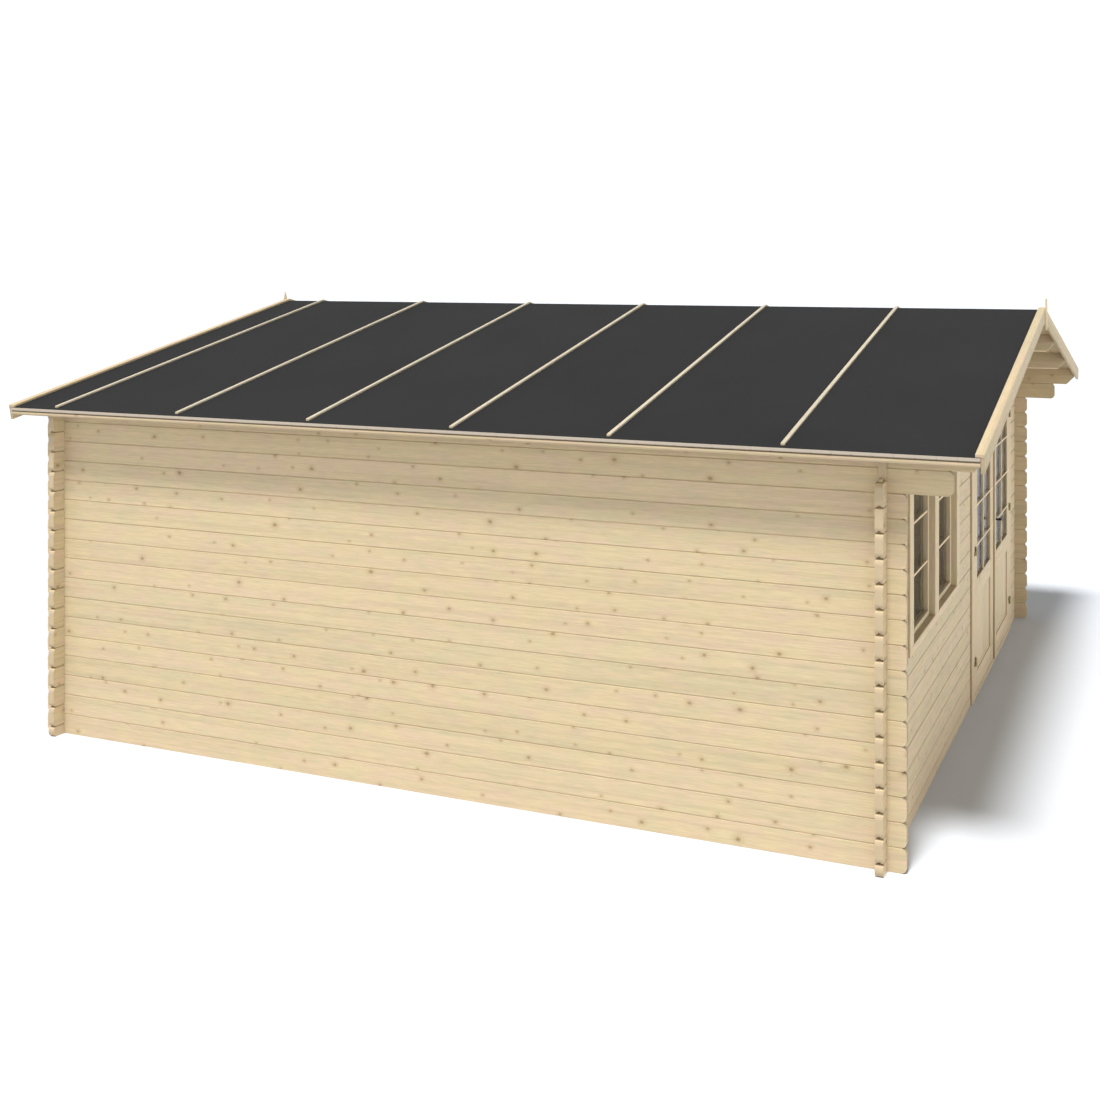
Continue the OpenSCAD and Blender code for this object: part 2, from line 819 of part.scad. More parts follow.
// A strip on the left slope between two distances from the ridge, from a height over the deck's underside
module slope_strip(x_in, x_out, over, rise) {
    polygon([
        [-x_in, under_z(x_in) + over], [-x_out, under_z(x_out) + over],
        [-x_out, under_z(x_out) + over + rise], [-x_in, under_z(x_in) + over + rise]
    ]);
}

// A purlin with slanted cuts under both ends
module purlin(x) {
    seat = seat_z(x);
    half = purlin_w / 2;
    peak = abs(x) < half ? [[0, apex_z]] : [];
    difference() {
        along_y(deck_front, deck_len) polygon(concat(
            [[x - half, seat + purlin_arris], [x - half + purlin_arris, seat]],
            [[x + half - purlin_arris, seat], [x + half, seat + purlin_arris]],
            [[x + half, under_z(x + half)]],
            peak, [[x - half, under_z(x - half)]]
        ));
        for (end = [0, 1]) translate([x - half - overrun, end * (deck_front + deck_rear), seat])
            mirror([0, end, 0]) rotate([90, 0, 90]) linear_extrude(purlin_w + 2 * overrun)
                under_cut(deck_front, end_chamfer);
    }
}

module ridge_purlin() { color(spruce) purlin(0); }

module side_purlins() {
    color(spruce) for (x = concat(purlin_xs, -purlin_xs)) purlin(x);
}

module deck_half() {
    along_y(deck_front, deck_len) slope_strip(0, eave_x, roof_play, deck_rise);
}

module felt_half() {
    along_y(deck_front, deck_len) slope_strip(0, eave_x, felt_over, felt_rise);
}

module felt_battens_half() {
    first = deck_front + barge_lap + felt_strip;
    last = deck_rear - barge_lap - batten_w;
    for (y = [first:felt_strip:last])
        along_y(y - batten_w / 2, batten_w)
            slope_strip(0, eave_x - batten_short, batten_over, batten_rise);
}

module left_roof_deck() { color(spruce) deck_half(); }
module right_roof_deck() { color(spruce) mirror([1, 0, 0]) deck_half(); }
module left_roof_felt() { color(felt_grey) felt_half(); }
module right_roof_felt() { color(felt_grey) mirror([1, 0, 0]) felt_half(); }
module left_felt_battens() { color(pale_spruce) felt_battens_half(); }
module right_felt_battens() { color(pale_spruce) mirror([1, 0, 0]) felt_battens_half(); }

// The batten under the left eave
module eave_batten() {
    x_out = eave_x - eave_batten_back;
    x_in = x_out - eave_batten_w;
    low = under_z(x_out) - eave_batten_h;
    along_y(deck_front, deck_len)
        polygon([[-x_in, low], [-x_in, under_z(x_in)], [-x_out, under_z(x_out)], [-x_out, low]]);
}

module eave_battens() {
    color(pale_spruce) {
        eave_batten();
        mirror([1, 0, 0]) eave_batten();
    }
}

// Face of a left bargeboard, cut square to the slope at the eave
module barge_face() {
    top_in = apex_z + barge_over;
    top_out = under_z(eave_x) + barge_over;
    x_low = eave_x - barge_h * sin(roof_angle);
    polygon([
        [0, top_in], [-eave_x, top_out], [-x_low, top_out - barge_h * cos(roof_angle)],
        [0, top_in - barge_drop]
    ]);
}

// The left bargeboards of both gables, each with a lip that laps over the felt
module barge_pair() {
    for (end = [0, 1]) translate([0, end * (deck_front + deck_rear), 0]) mirror([0, end, 0]) {
        along_y(deck_front - barge_t, barge_t) barge_face();
        along_y(deck_front - barge_t, barge_t + barge_lap)
            slope_strip(0, eave_x, batten_over, barge_over - batten_over);
    }
}

module left_bargeboards() { color(pale_spruce) barge_pair(); }
module right_bargeboards() { color(pale_spruce) mirror([1, 0, 0]) barge_pair(); }

// The pointed boards over the meeting of the bargeboards
module finials() {
    top = apex_z + barge_over + finial_above;
    low = top - finial_h;
    half = finial_w / 2;
    color(pale_spruce) for (y = [deck_front - barge_t - finial_t, deck_rear + barge_t])
        along_y(y, finial_t)
            polygon([
                [-half, low], [half, low], [half, top - finial_point], [0, top],
                [-half, top - finial_point]
            ]);
}

left_wall_logs_odd();
left_wall_logs_even();
right_wall_logs_odd();
right_wall_logs_even();
rear_wall_logs_odd();
rear_wall_logs_even();
front_left_logs_odd();
front_left_logs_even();
front_right_logs_odd();
front_right_logs_even();
front_gable_logs_odd();
front_gable_logs_even();
window_posts();
window_rails();
window_sash_stiles();
window_sash_rails();
window_glass();
door_posts();
door_head();
door_threshold();
hinge_pins();
left_door_stiles();
left_door_rails();
left_door_panel();
left_door_glass();
left_hinge_knuckles();
right_door_stiles();
right_door_rails();
right_door_panel();
right_door_glass();
right_hinge_knuckles();
door_handles();
ridge_purlin();
side_purlins();
left_roof_deck();
right_roof_deck();
left_roof_felt();
right_roof_felt();
left_felt_battens();
right_felt_battens();
eave_battens();
left_bargeboards();
right_bargeboards();
finials();
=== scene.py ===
"""Dress the log cabin: spruce logs and joinery, felted roof, glazing, ironmongery and the studio round it.

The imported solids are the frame.  Log walls, felt and panes keep their solids and get a finish.  Purlins,
joinery, trim and ironmongery are softened copies of theirs.  Eave battens and roof boards are made afresh in
place of theirs, and bars, beads, mouldings, packings, nails and screws are added.
All lengths are metres; +X runs across the gable, -Y faces the door and +Z is up.
"""

from __future__ import annotations

import json
import logging
import math
from dataclasses import dataclass, field
from enum import Enum
from typing import ClassVar, Iterable, Optional, Sequence, Union

import bmesh
import bpy
from mathutils import Matrix, Vector

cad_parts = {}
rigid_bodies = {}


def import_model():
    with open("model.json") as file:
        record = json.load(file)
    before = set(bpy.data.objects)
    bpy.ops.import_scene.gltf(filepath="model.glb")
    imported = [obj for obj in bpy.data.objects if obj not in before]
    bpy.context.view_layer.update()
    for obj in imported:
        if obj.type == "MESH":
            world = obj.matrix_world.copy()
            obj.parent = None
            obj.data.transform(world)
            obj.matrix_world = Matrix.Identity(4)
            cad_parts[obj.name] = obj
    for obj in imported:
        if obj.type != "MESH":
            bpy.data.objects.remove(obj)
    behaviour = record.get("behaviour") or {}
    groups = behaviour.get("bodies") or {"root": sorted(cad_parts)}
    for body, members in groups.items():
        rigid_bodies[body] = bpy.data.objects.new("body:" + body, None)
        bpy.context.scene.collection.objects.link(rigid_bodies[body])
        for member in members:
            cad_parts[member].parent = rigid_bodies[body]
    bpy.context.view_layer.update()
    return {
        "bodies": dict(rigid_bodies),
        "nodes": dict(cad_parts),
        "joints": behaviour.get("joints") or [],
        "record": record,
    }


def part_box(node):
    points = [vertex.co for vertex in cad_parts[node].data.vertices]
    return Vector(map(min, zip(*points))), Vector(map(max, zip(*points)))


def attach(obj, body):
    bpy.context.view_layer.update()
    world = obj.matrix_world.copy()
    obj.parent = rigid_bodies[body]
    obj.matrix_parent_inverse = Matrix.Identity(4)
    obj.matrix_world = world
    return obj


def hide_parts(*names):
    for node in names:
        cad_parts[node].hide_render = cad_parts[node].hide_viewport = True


log = logging.getLogger("cabin")

Rgb = tuple[float, float, float]
Box = tuple[Vector, Vector]
Feed = Union["Sock", float, Sequence[float]]

ROOF_ANGLE = math.radians(11.16)
LOG_PITCH = 0.121
BOARD_PITCH = 0.09751
BOARD_START = -2.8765
CABIN = "cabin"


class Grain(Enum):
    """The way the grain of a timber runs."""

    ALONG_X = "x"
    ALONG_Y = "y"
    ALONG_Z = "z"
    DOWN_SLOPE = "slope"


class Side(Enum):
    """The two leaves of the double door, and the two slopes of the roof."""

    LEFT = "left"
    RIGHT = "right"

    @property
    def sign(self) -> int:
        """-1 for the left and 1 for the right."""
        return -1 if self is Side.LEFT else 1

    @property
    def door(self) -> str:
        """The body of the door leaf on this side."""
        return f"{self.value}_door"


class Sock:
    """An output socket of a shader graph that takes part in Python arithmetic."""

    def __init__(self, graph: "Graph", socket: bpy.types.NodeSocket) -> None:
        """Wrap one socket of a graph."""
        self.graph = graph
        self.socket = socket

    def _math(self, operation: str, *values: Feed) -> "Sock":
        """Add a Math node.

        Args:
            operation: the Math node's operation.
            values: what its sockets take, in order.

        Returns:
            The node's output.
        """
        return self.graph.node("ShaderNodeMath", {"operation": operation}, dict(enumerate(values)))

    def __add__(self, other: Feed) -> "Sock":
        """Sum with a value."""
        return self._math("ADD", self, other)

    def __sub__(self, other: Feed) -> "Sock":
        """Difference from a value."""
        return self._math("SUBTRACT", self, other)

    def __rsub__(self, other: Feed) -> "Sock":
        """Difference of a value on the left."""
        return self._math("SUBTRACT", other, self)

    def __mul__(self, other: Feed) -> "Sock":
        """Product with a value."""
        return self._math("MULTIPLY", self, other)

    def __truediv__(self, other: Feed) -> "Sock":
        """Quotient by a value."""
        return self._math("DIVIDE", self, other)

    def floor(self) -> "Sock":
        """Whole number below."""
        return self._math("FLOOR", self)

    def fraction(self) -> "Sock":
        """Part over the whole number below."""
        return self._math("FRACT", self)

    def size(self) -> "Sock":
        """Value without its sign."""
        return self._math("ABSOLUTE", self)

    def sine(self) -> "Sock":
        """Sine of the value in radians."""
        return self._math("SINE", self)

    def root(self) -> "Sock":
        """Square root."""
        return self._math("SQRT", self)

    def over(self, limit: Feed) -> "Sock":
        """1 where the value passes the limit, else 0."""
        return self._math("GREATER_THAN", self, limit)

    def ease(self, low: Feed, high: Feed, start: Feed = 0.0, end: Feed = 1.0) -> "Sock":
        """Smooth step between two values.

        Args:
            low: value at which the result is start.
            high: value at which the result is end.
            start: result at and below low.
            end: result at and above high.

        Returns:
            The eased value.
        """
        settings = {"interpolation_type": "SMOOTHSTEP", "clamp": True}
        return self.graph.node("ShaderNodeMapRange", settings, {0: self, 1: low, 2: high, 3: start, 4: end})

    def other(self, output: Union[str, int]) -> "Sock":
        """Another output of the same node."""
        return Sock(self.graph, self.socket.node.outputs[output])


class Graph:
    """The node graph of one material, with a Principled surface."""

    def __init__(self, name: str) -> None:
        """Start a material whose graph holds only the Principled surface."""
        self.material = bpy.data.materials.new(name)
        self.material.use_nodes = True
        self.tree = self.material.node_tree
        self.tree.nodes.clear()
        self.surface = self.node("ShaderNodeBsdfPrincipled")
        output = self.tree.nodes.new("ShaderNodeOutputMaterial")
        self.tree.links.new(self.surface.socket, output.inputs["Surface"])

    def node(
        self,
        kind: str,
        settings: Optional[dict[str, object]] = None,
        inputs: Optional[dict[Union[str, int], Feed]] = None,
        output: Union[str, int] = 0,
    ) -> Sock:
        """Add a node.

        Args:
            kind: the node's type.
            settings: attributes of the node, set before its sockets.
            inputs: values or links of its sockets, by name or number.
            output: the output to return.

        Returns:
            The chosen output.
        """
        made = self.tree.nodes.new(kind)
        for key, value in (settings or {}).items():
            setattr(made, key, value)
        for key, value in (inputs or {}).items():
            self.feed(made.inputs[key], value)
        return Sock(self, made.outputs[output])

    def feed(self, socket: bpy.types.NodeSocket, value: Feed) -> None:
        """Link a socket, or set its own value."""
        if isinstance(value, Sock):
            self.tree.links.new(value.socket, socket)
        elif socket.type == "RGBA":
            socket.default_value = (*value, 1.0)
        else:
            socket.default_value = value

    def set(self, **values: Feed) -> None:
        """Feed the Principled surface; an underscore in a name stands for a blank."""
        sockets = self.surface.socket.node.inputs
        for name, value in values.items():
            self.feed(sockets[name.replace("_", " ")], value)

    def split(self, vector: Sock) -> tuple[Sock, Sock, Sock]:
        """The three parts of a vector."""
        first = self.node("ShaderNodeSeparateXYZ", None, {0: vector})
        return first, first.other(1), first.other(2)

    def join(self, x: Feed, y: Feed, z: Feed = 0.0) -> Sock:
        """A vector of three parts."""
        return self.node("ShaderNodeCombineXYZ", None, {0: x, 1: y, 2: z})

    def noise(self, place: Sock, scale: float, detail: float = 2.0, roughness: float = 0.5) -> Sock:
        """Cloudy value from 0 to 1.

        Args:
            place: where the value is read.
            scale: clouds in a unit of place.
            detail: octaves.
            roughness: share of the finer octaves.

        Returns:
            The value.
        """
        sizes = {"Vector": place, "Scale": scale, "Detail": detail, "Roughness": roughness}
        return self.node("ShaderNodeTexNoise", None, sizes)

    def draw(self, number: Sock) -> Sock:
        """A value from 0 to 1 drawn for a number; the node's colour holds three more."""
        return self.node("ShaderNodeTexWhiteNoise", {"noise_dimensions": "1D"}, {"W": number})

    def mix(self, factor: Feed, first: Feed, second: Feed) -> Sock:
        """Blend two colours.

        Args:
            factor: share of the second colour.
            first: colour at factor 0.
            second: colour at factor 1.

        Returns:
            The blended colour.
        """
        return self.node("ShaderNodeMix", {"data_type": "RGBA"}, {0: factor, 6: first, 7: second}, 2)

    def shade(self, colour: Feed, amount: Feed) -> Sock:
        """A colour made brighter or darker by a factor."""
        return self.node("ShaderNodeVectorMath", {"operation": "SCALE"}, {0: colour, "Scale": amount})

    def bump(self, height: Sock, depth: float, strength: float) -> Sock:
        """A normal that follows a height.

        Args:
            height: height in units of depth.
            depth: length of one unit of height.
            strength: share of the effect.

        Returns:
            The normal.
        """
        return self.node("ShaderNodeBump", None, {"Strength": strength, "Distance": depth, "Height": height})


@dataclass(frozen=True)
class Spruce:
    """Planed, untreated spruce whose boards differ in tone.

    Attributes:
        name: name of the finish.
        grain: the way the grain runs.
        board_axis: coordinate that tells one board from the next.
        board_pitch: width of a board along that coordinate.
        board_start: where one of the boards starts.
        joints: whether the joints between boards are stained by shade and dust.
        stain: how far the most stained joint is covered.
        knot_share: share of the knot cells that hold a knot.
        knot_gap: mean distance between knots along the grain.
        pith: distance of the boards from the middle of the building, across the grain.
        tone: brightness against the wall logs.
        weather: share of the grey that rain and sun bring.
        edge_shade: brightness of the narrow edges against the faces; below 1 it is painted shade for edges
            that lie in reveals and recesses.
        underside_light: brightness of faces that look down against the others; above 1 it is painted light,
            as from the pale floor below.
        end_pale: paler colour of the end grain.
        end_dark: darker colour of the end grain.
    """

    name: str
    grain: Grain
    board_axis: str
    board_pitch: float
    board_start: float = 0.0
    joints: bool = False
    stain: float = 0.2
    knot_share: float = 0.75
    knot_gap: float = 0.27
    pith: float = 0.0
    tone: float = 1.0
    weather: float = 0.0
    edge_shade: float = 1.0
    underside_light: float = 1.0
    end_pale: Rgb = (0.441, 0.347, 0.221)
    end_dark: Rgb = (0.352, 0.261, 0.157)

    CREAM: ClassVar[Rgb] = (0.517, 0.413, 0.247)
    ROSE: ClassVar[Rgb] = (0.512, 0.388, 0.260)
    SAGE: ClassVar[Rgb] = (0.472, 0.399, 0.244)
    WEATHERED: ClassVar[Rgb] = (0.360, 0.355, 0.305)
    KNOT: ClassVar[Rgb] = (0.198, 0.141, 0.062)
    KNOT_RIM: ClassVar[Rgb] = (0.405, 0.293, 0.163)
    JOINT: ClassVar[Rgb] = (0.250, 0.198, 0.095)
    END_GAP_SHADE: ClassVar[Rgb] = (0.140, 0.104, 0.055)
    KNOT_ROW: ClassVar[float] = LOG_PITCH
    KNOT_LEAST: ClassVar[float] = 0.0055
    KNOT_SPREAD: ClassVar[float] = 0.0065
    JOINT_EDGE: ClassVar[tuple[float, float]] = (0.0010, 0.0075)
    END_GAP_SHADE_EDGE: ClassVar[tuple[float, float]] = (0.003, 0.010)
    RING_RATE: ClassVar[float] = 1400.0
    GRAIN_DEPTH: ClassVar[float] = 0.0008

    def _axes(self, graph: Graph, vector: Sock) -> tuple[dict[str, Sock], tuple[Sock, Sock, Sock]]:
        """Split a vector into plain parts and into along, across and through the grain.

        Args:
            graph: the graph that takes the nodes.
            vector: the vector to split.

        Returns:
            The plain parts by name, and the parts along, across and through.
        """
        x, y, z = graph.split(vector)
        plain = {"x": x, "y": y, "z": z}
        if self.grain is Grain.ALONG_X:
            return plain, (x, z, y)
        if self.grain is Grain.ALONG_Y:
            return plain, (y, z, x)
        if self.grain is Grain.ALONG_Z:
            return plain, (z, x, y)
        down = x.size() * math.cos(ROOF_ANGLE) - z * math.sin(ROOF_ANGLE)
        up = x.size() * math.sin(ROOF_ANGLE) + z * math.cos(ROOF_ANGLE)
        return plain, (down, y, up)

    def _knots(self, graph: Graph, along: Sock, across: Sock, board: Sock) -> tuple[Sock, Sock, Sock]:
        """Scatter knots over the boards.

        Args:
            graph: the graph that takes the nodes.
            along: place along the grain.
            across: place across the grain.
            board: number of the board.

        Returns:
            The masks of the knots and of their rims, and the distance across from the knot.
        """
        cell_u = along / self.knot_gap
        cell_v = across / self.KNOT_ROW + board * 5.37
        settings = {"voronoi_dimensions": "2D", "feature": "F1"}
        place = {"Vector": graph.join(cell_u, cell_v), "Scale": 1.0, "Randomness": 0.95}
        cell = graph.node("ShaderNodeTexVoronoi", settings, place, "Position")
        knot_u, knot_v, _ = graph.split(cell)
        luck, chance, _ = graph.split(cell.other("Color"))
        off_u = (cell_u - knot_u) * self.knot_gap
        off_v = (cell_v - knot_v) * self.KNOT_ROW
        ragged = graph.noise(graph.join(along * 70.0, across * 110.0 + board * 2.3), 1.0, 2.0) * 0.9 + 0.55
        far = (off_u * off_u * 0.7 + off_v * off_v * 1.3).root() * ragged
        radius = (luck * luck * self.KNOT_SPREAD + self.KNOT_LEAST) * (1.0 - chance.over(self.knot_share))
        knot = (1.0 - far.ease(radius * 0.2, radius * 1.5 + 1e-5)) * (luck * 0.4 + 0.35)
        rim = 1.0 - far.ease(radius * 0.9, radius * 3.8 + 1e-5)
        return knot, rim, off_v

    def build(self) -> bpy.types.Material:
        """Make the material."""
        graph = Graph(self.name)
        coords = graph.node("ShaderNodeTexCoord", output="Object")
        plain, (along, across, through) = self._axes(graph, coords)
        facing, (normal_along, normal_across, _) = self._axes(graph, coords.other("Normal"))
        place = (plain[self.board_axis] - self.board_start) / self.board_pitch
        board = place.floor()
        luck = graph.draw(board + 0.37)
        red, green, _ = graph.split(luck.other("Color"))
        length = along + luck * 41.0

        knot, rim, off_v = self._knots(graph, length, across, board)
        bent = across + off_v * rim * 0.7
        drift = graph.noise(graph.join(length * 4.2, across * 10.0 + board * 3.1), 1.0, 3.0, 0.6)
        mottle = graph.noise(graph.join(length * 4.6 + 19.0, across * 14.0 + board * 7.7), 1.0, 3.0, 0.6)
        rings = graph.noise(graph.join(length * 0.6, bent * 48.0, through * 48.0), 1.0, 3.0, 0.6)
        streak = graph.noise(graph.join(length * 9.0, bent * 150.0, through * 150.0), 1.0, 3.0, 0.6)

        rosy = (drift + red * 0.12 - 0.06).ease(0.40, 0.62)
        grey = (mottle + green * 0.16 - 0.08).ease(0.47, 0.66)
        colour = graph.mix(rosy * 0.9, self.CREAM, self.ROSE)
        colour = graph.mix(grey * 0.75, colour, self.SAGE)
        light = (luck * 0.06 + 0.97) * (1.05 - rings.ease(0.40, 0.68) * 0.10)
        light = light * (1.06 - streak.ease(0.32, 0.68) * 0.12)
        colour = graph.mix(rim * 0.45, graph.shade(colour, light), self.KNOT_RIM)
        colour = graph.mix(knot, colour, self.KNOT)
        if self.weather:
            colour = graph.mix(self.weather, colour, graph.shade(self.WEATHERED, light))

        local = (place.fraction() - 0.5) * self.board_pitch
        ring_v = local + luck * 0.08 - 0.04
        ring_w = through.size() - self.pith + 0.03
        ring_r = (ring_v * ring_v + ring_w * ring_w).root()
        growth = (ring_r * self.RING_RATE + drift * 9.0).sine() * 0.5 + 0.5
        end_colour = graph.mix(growth * (rings * 0.6 + 0.2), self.end_pale, self.end_dark)
        end = normal_along.size().ease(0.6, 0.85)
        colour = graph.mix(end, colour, end_colour)
        if self.joints:
            edge = (0.5 - (place.fraction() - 0.5).size()) * self.board_pitch
            flat = 1.0 - normal_along.size().ease(0.25, 0.55)
            seam = graph.draw((place + 0.5).floor() + 0.83)
            depth = (seam * 0.7 + 0.3) * self.stain * (drift * 0.8 + 0.6) * flat
            colour = graph.mix(edge.ease(*self.JOINT_EDGE, 1.0, 0.0) * depth, colour, self.JOINT)
            # Painted shade: the rounded log ends are darkened next to each joint, where the gap between them
            # lies in shadow.
            turned = normal_along.size().ease(0.15, 0.4) * normal_along.size().ease(0.85, 0.97, 1.0, 0.0)
            colour = graph.mix(turned * edge.ease(*self.END_GAP_SHADE_EDGE, 0.5, 0.0), colour, self.END_GAP_SHADE)
        # Painted shade: the narrow edges, which lie in the reveals of the window and door, are darkened.
        if self.edge_shade != 1.0:
            colour = graph.shade(colour, normal_across.size().ease(0.5, 0.9, 1.0, self.edge_shade))
        # Painted light: faces that look down are brightened as if lit from the floor.
        if self.underside_light != 1.0:
            colour = graph.shade(colour, facing["z"].ease(-0.5, -0.3, self.underside_light, 1.0))
        if self.tone != 1.0:
            colour = graph.shade(colour, self.tone)

        relief = rings * 0.5 + streak * 0.5 - rim * 0.6
        graph.set(
            Base_Color=colour,
            Roughness=0.72 - rings * 0.14,
            Normal=graph.bump(relief, self.GRAIN_DEPTH, 0.35),
            Specular_IOR_Level=0.25,
        )
        return graph.material


@dataclass(frozen=True)
class Felt:
    """Roofing felt with fine mineral grit, laid in strips.

    Attributes:
        name: name of the finish.
        strip: width of a strip.
        start: where the first strip starts along the ridge.
    """

    name: str = "Grey felt"
    strip: float = 0.9
    start: float = -2.8535

    GREY: ClassVar[Rgb] = (0.0218, 0.0217, 0.0219)
    PALE: ClassVar[Rgb] = (0.0347, 0.0342, 0.0335)

    def build(self) -> bpy.types.Material:
        """Make the material."""
        graph = Graph(self.name)
        coords = graph.node("ShaderNodeTexCoord", output="Object")
        _, y, _ = graph.split(coords)
        strip = ((y - self.start) / self.strip).floor()
        luck = graph.draw(strip + 0.61)
        grit = graph.noise(coords, 420.0, 2.0, 0.6)
        cloud = graph.noise(coords, 1.7, 3.0)
        speck = graph.noise(coords, 130.0, 1.0)
        colour = graph.mix(grit.ease(0.45, 0.75) * 0.7 + speck.ease(0.6, 0.75) * 0.2, self.GREY, self.PALE)
        colour = graph.shade(colour, (luck * 0.08 + 0.96) * (cloud * 0.22 + 0.89))
        graph.set(
            Base_Color=colour,
            Roughness=0.97 - grit * 0.10,
            Normal=graph.bump(grit + speck * 0.5, 0.0009, 0.5),
            Specular_IOR_Level=0.08,
        )
        return graph.material


@dataclass(frozen=True)
class Metal:
    """A metal with brushed marks and a worn film.

    Attributes:
        name: name of the finish.
        bright: colour where it is rubbed.
        dull: colour elsewhere.
        metallic: how much it shines as bare metal.
        roughness: mean roughness.
    """

    name: str
    bright: Rgb
    dull: Rgb
    metallic: float
    roughness: float

    def build(self) -> bpy.types.Material:
        """Make the material."""
        graph = Graph(self.name)
        coords = graph.node("ShaderNodeTexCoord", output="Object")
        x, y, z = graph.split(coords)
        film = graph.noise(coords, 60.0, 3.0)
        brushed = graph.noise(graph.join(x * 40.0, y * 40.0, z * 900.0), 1.0, 2.0)
        graph.set(
            Base_Color=graph.mix(film.ease(0.4, 0.65), self.bright, self.dull),
            Metallic=self.metallic,
            Roughness=film * 0.2 + brushed * 0.1 + self.roughness - 0.15,
            Normal=graph.bump(brushed + film * 0.6, 0.0002, 0.4),
        )
        return graph.material


@dataclass(frozen=True)
class Glass:
    """Clear float glass with a faint film of dust.

    Attributes:
        name: name of the finish.
        tint: colour of the light that comes through.
        body: share of the pane that mirrors and bends light; the rest is clear.
    """

    name: str = "Clear glass"
    tint: Rgb = (0.80, 0.84, 0.82)
    body: float = 0.25

    def build(self) -> bpy.types.Material:
        """Make the material."""
        graph = Graph(self.name)
        coords = graph.node("ShaderNodeTexCoord", output="Object")
        film = graph.noise(coords, 9.0, 4.0)
        graph.set(
            Base_Color=self.tint,
            Roughness=film.ease(0.45, 0.8) * 0.05 + 0.01,
            Transmission_Weight=1.0,
            IOR=1.45,
            Alpha=self.body,
        )
        return graph.material


@dataclass(frozen=True)
class Ground:
    """The plain pale studio floor."""

    name: str = "Studio floor"
    pale: Rgb = (0.545, 0.566, 0.598)
    dark: Rgb = (0.530, 0.551, 0.582)

    def build(self) -> bpy.types.Material:
        """Make the material."""
        graph = Graph(self.name)
        cloud = graph.noise(graph.node("ShaderNodeTexCoord", output="Object"), 0.6, 3.0)
        graph.set(Base_Color=graph.mix(cloud, self.pale, self.dark), Roughness=0.95, Specular_IOR_Level=0.0)
        return graph.material


class SkyGraph(Graph):
    """The node graph of the sky."""

    def __init__(self, world: bpy.types.World) -> None:
        """Take over the world's own graph."""
        self.tree = world.node_tree
        self.surface = Sock(self, self.tree.nodes["Background"].outputs[0])


class Palette:
    """Every finish of the cabin, made once."""

    def __init__(self) -> None:
        """Make the materials."""
        flat = {"knot_share": 0.35, "knot_gap": 0.55}
        # Painted light and shade on the planed joinery: its raised tone stands in for fill light on the
        # shaded front, and its narrow edges are darkened as painted shade.
        planed = {**flat, "edge_shade": 0.75, "tone": 1.27}
        sawn = {"end_pale": (0.420, 0.360, 0.290), "end_dark": (0.360, 0.300, 0.235)}
        crossing = {"end_pale": (0.396, 0.312, 0.200), "end_dark": (0.318, 0.236, 0.142)}
        self.long_logs = Spruce("Logs along", Grain.ALONG_Y, "z", LOG_PITCH, joints=True, pith=2.74).build()
        self.lee_logs = Spruce(
            "Logs along, shaded", Grain.ALONG_Y, "z", LOG_PITCH, joints=True, pith=2.74, tone=1.01
        ).build()
        # The logs across are brighter than the logs along as painted light: the raised tone stands in for
        # fill light on the shaded front wall.
        self.cross_logs = Spruce(
            "Logs across", Grain.ALONG_X, "z", LOG_PITCH, LOG_PITCH / 2, joints=True, stain=0.75, pith=2.5,
            tone=1.19, **crossing
        ).build()
        self.uprights = Spruce("Uprights", Grain.ALONG_Z, "x", 0.23, **planed).build()
        self.rails = Spruce("Rails", Grain.ALONG_X, "z", 0.31, **planed).build()
        self.bars = Spruce("Bars", Grain.ALONG_X, "z", 0.31, tone=1.5, **flat).build()
        # Painted light and shade on the purlins: their lower tone is painted shade under the roof, and their
        # downward faces get painted light.
        self.purlins = Spruce("Purlins", Grain.ALONG_Y, "x", 0.45, 0.2, tone=0.92, underside_light=1.35).build()
        self.boards = Spruce(
            "Roof boards", Grain.DOWN_SLOPE, "y", BOARD_PITCH, BOARD_START, knot_gap=0.6, **sawn
        ).build()
        self.slope_trim = Spruce("Sloping trim", Grain.DOWN_SLOPE, "y", 0.31, 0.1, tone=1.02, **flat).build()
        self.felt_battens = Spruce(
            "Felt battens", Grain.DOWN_SLOPE, "y", 0.9, 0.1, tone=1.13, weather=0.5, **flat
        ).build()
        self.eaves = Spruce("Eave battens", Grain.ALONG_Y, "x", 3.0, tone=0.9, **flat).build()
        # The packing's dark tone is painted shade in the gap under the roof boards.
        self.packing = Spruce("Eave packing", Grain.ALONG_Y, "x", 3.0, tone=0.4, **flat).build()
        self.felt = Felt().build()
        self.brass = Metal("Aged brass", (0.40, 0.32, 0.16), (0.20, 0.15, 0.07), 0.8, 0.45).build()
        self.iron = Metal("Black iron", (0.035, 0.035, 0.036), (0.012, 0.012, 0.013), 0.6, 0.45).build()
        self.zinc = Metal("Zinc nails", (0.60, 0.60, 0.60), (0.40, 0.40, 0.41), 0.9, 0.45).build()
        self.glass = Glass().build()


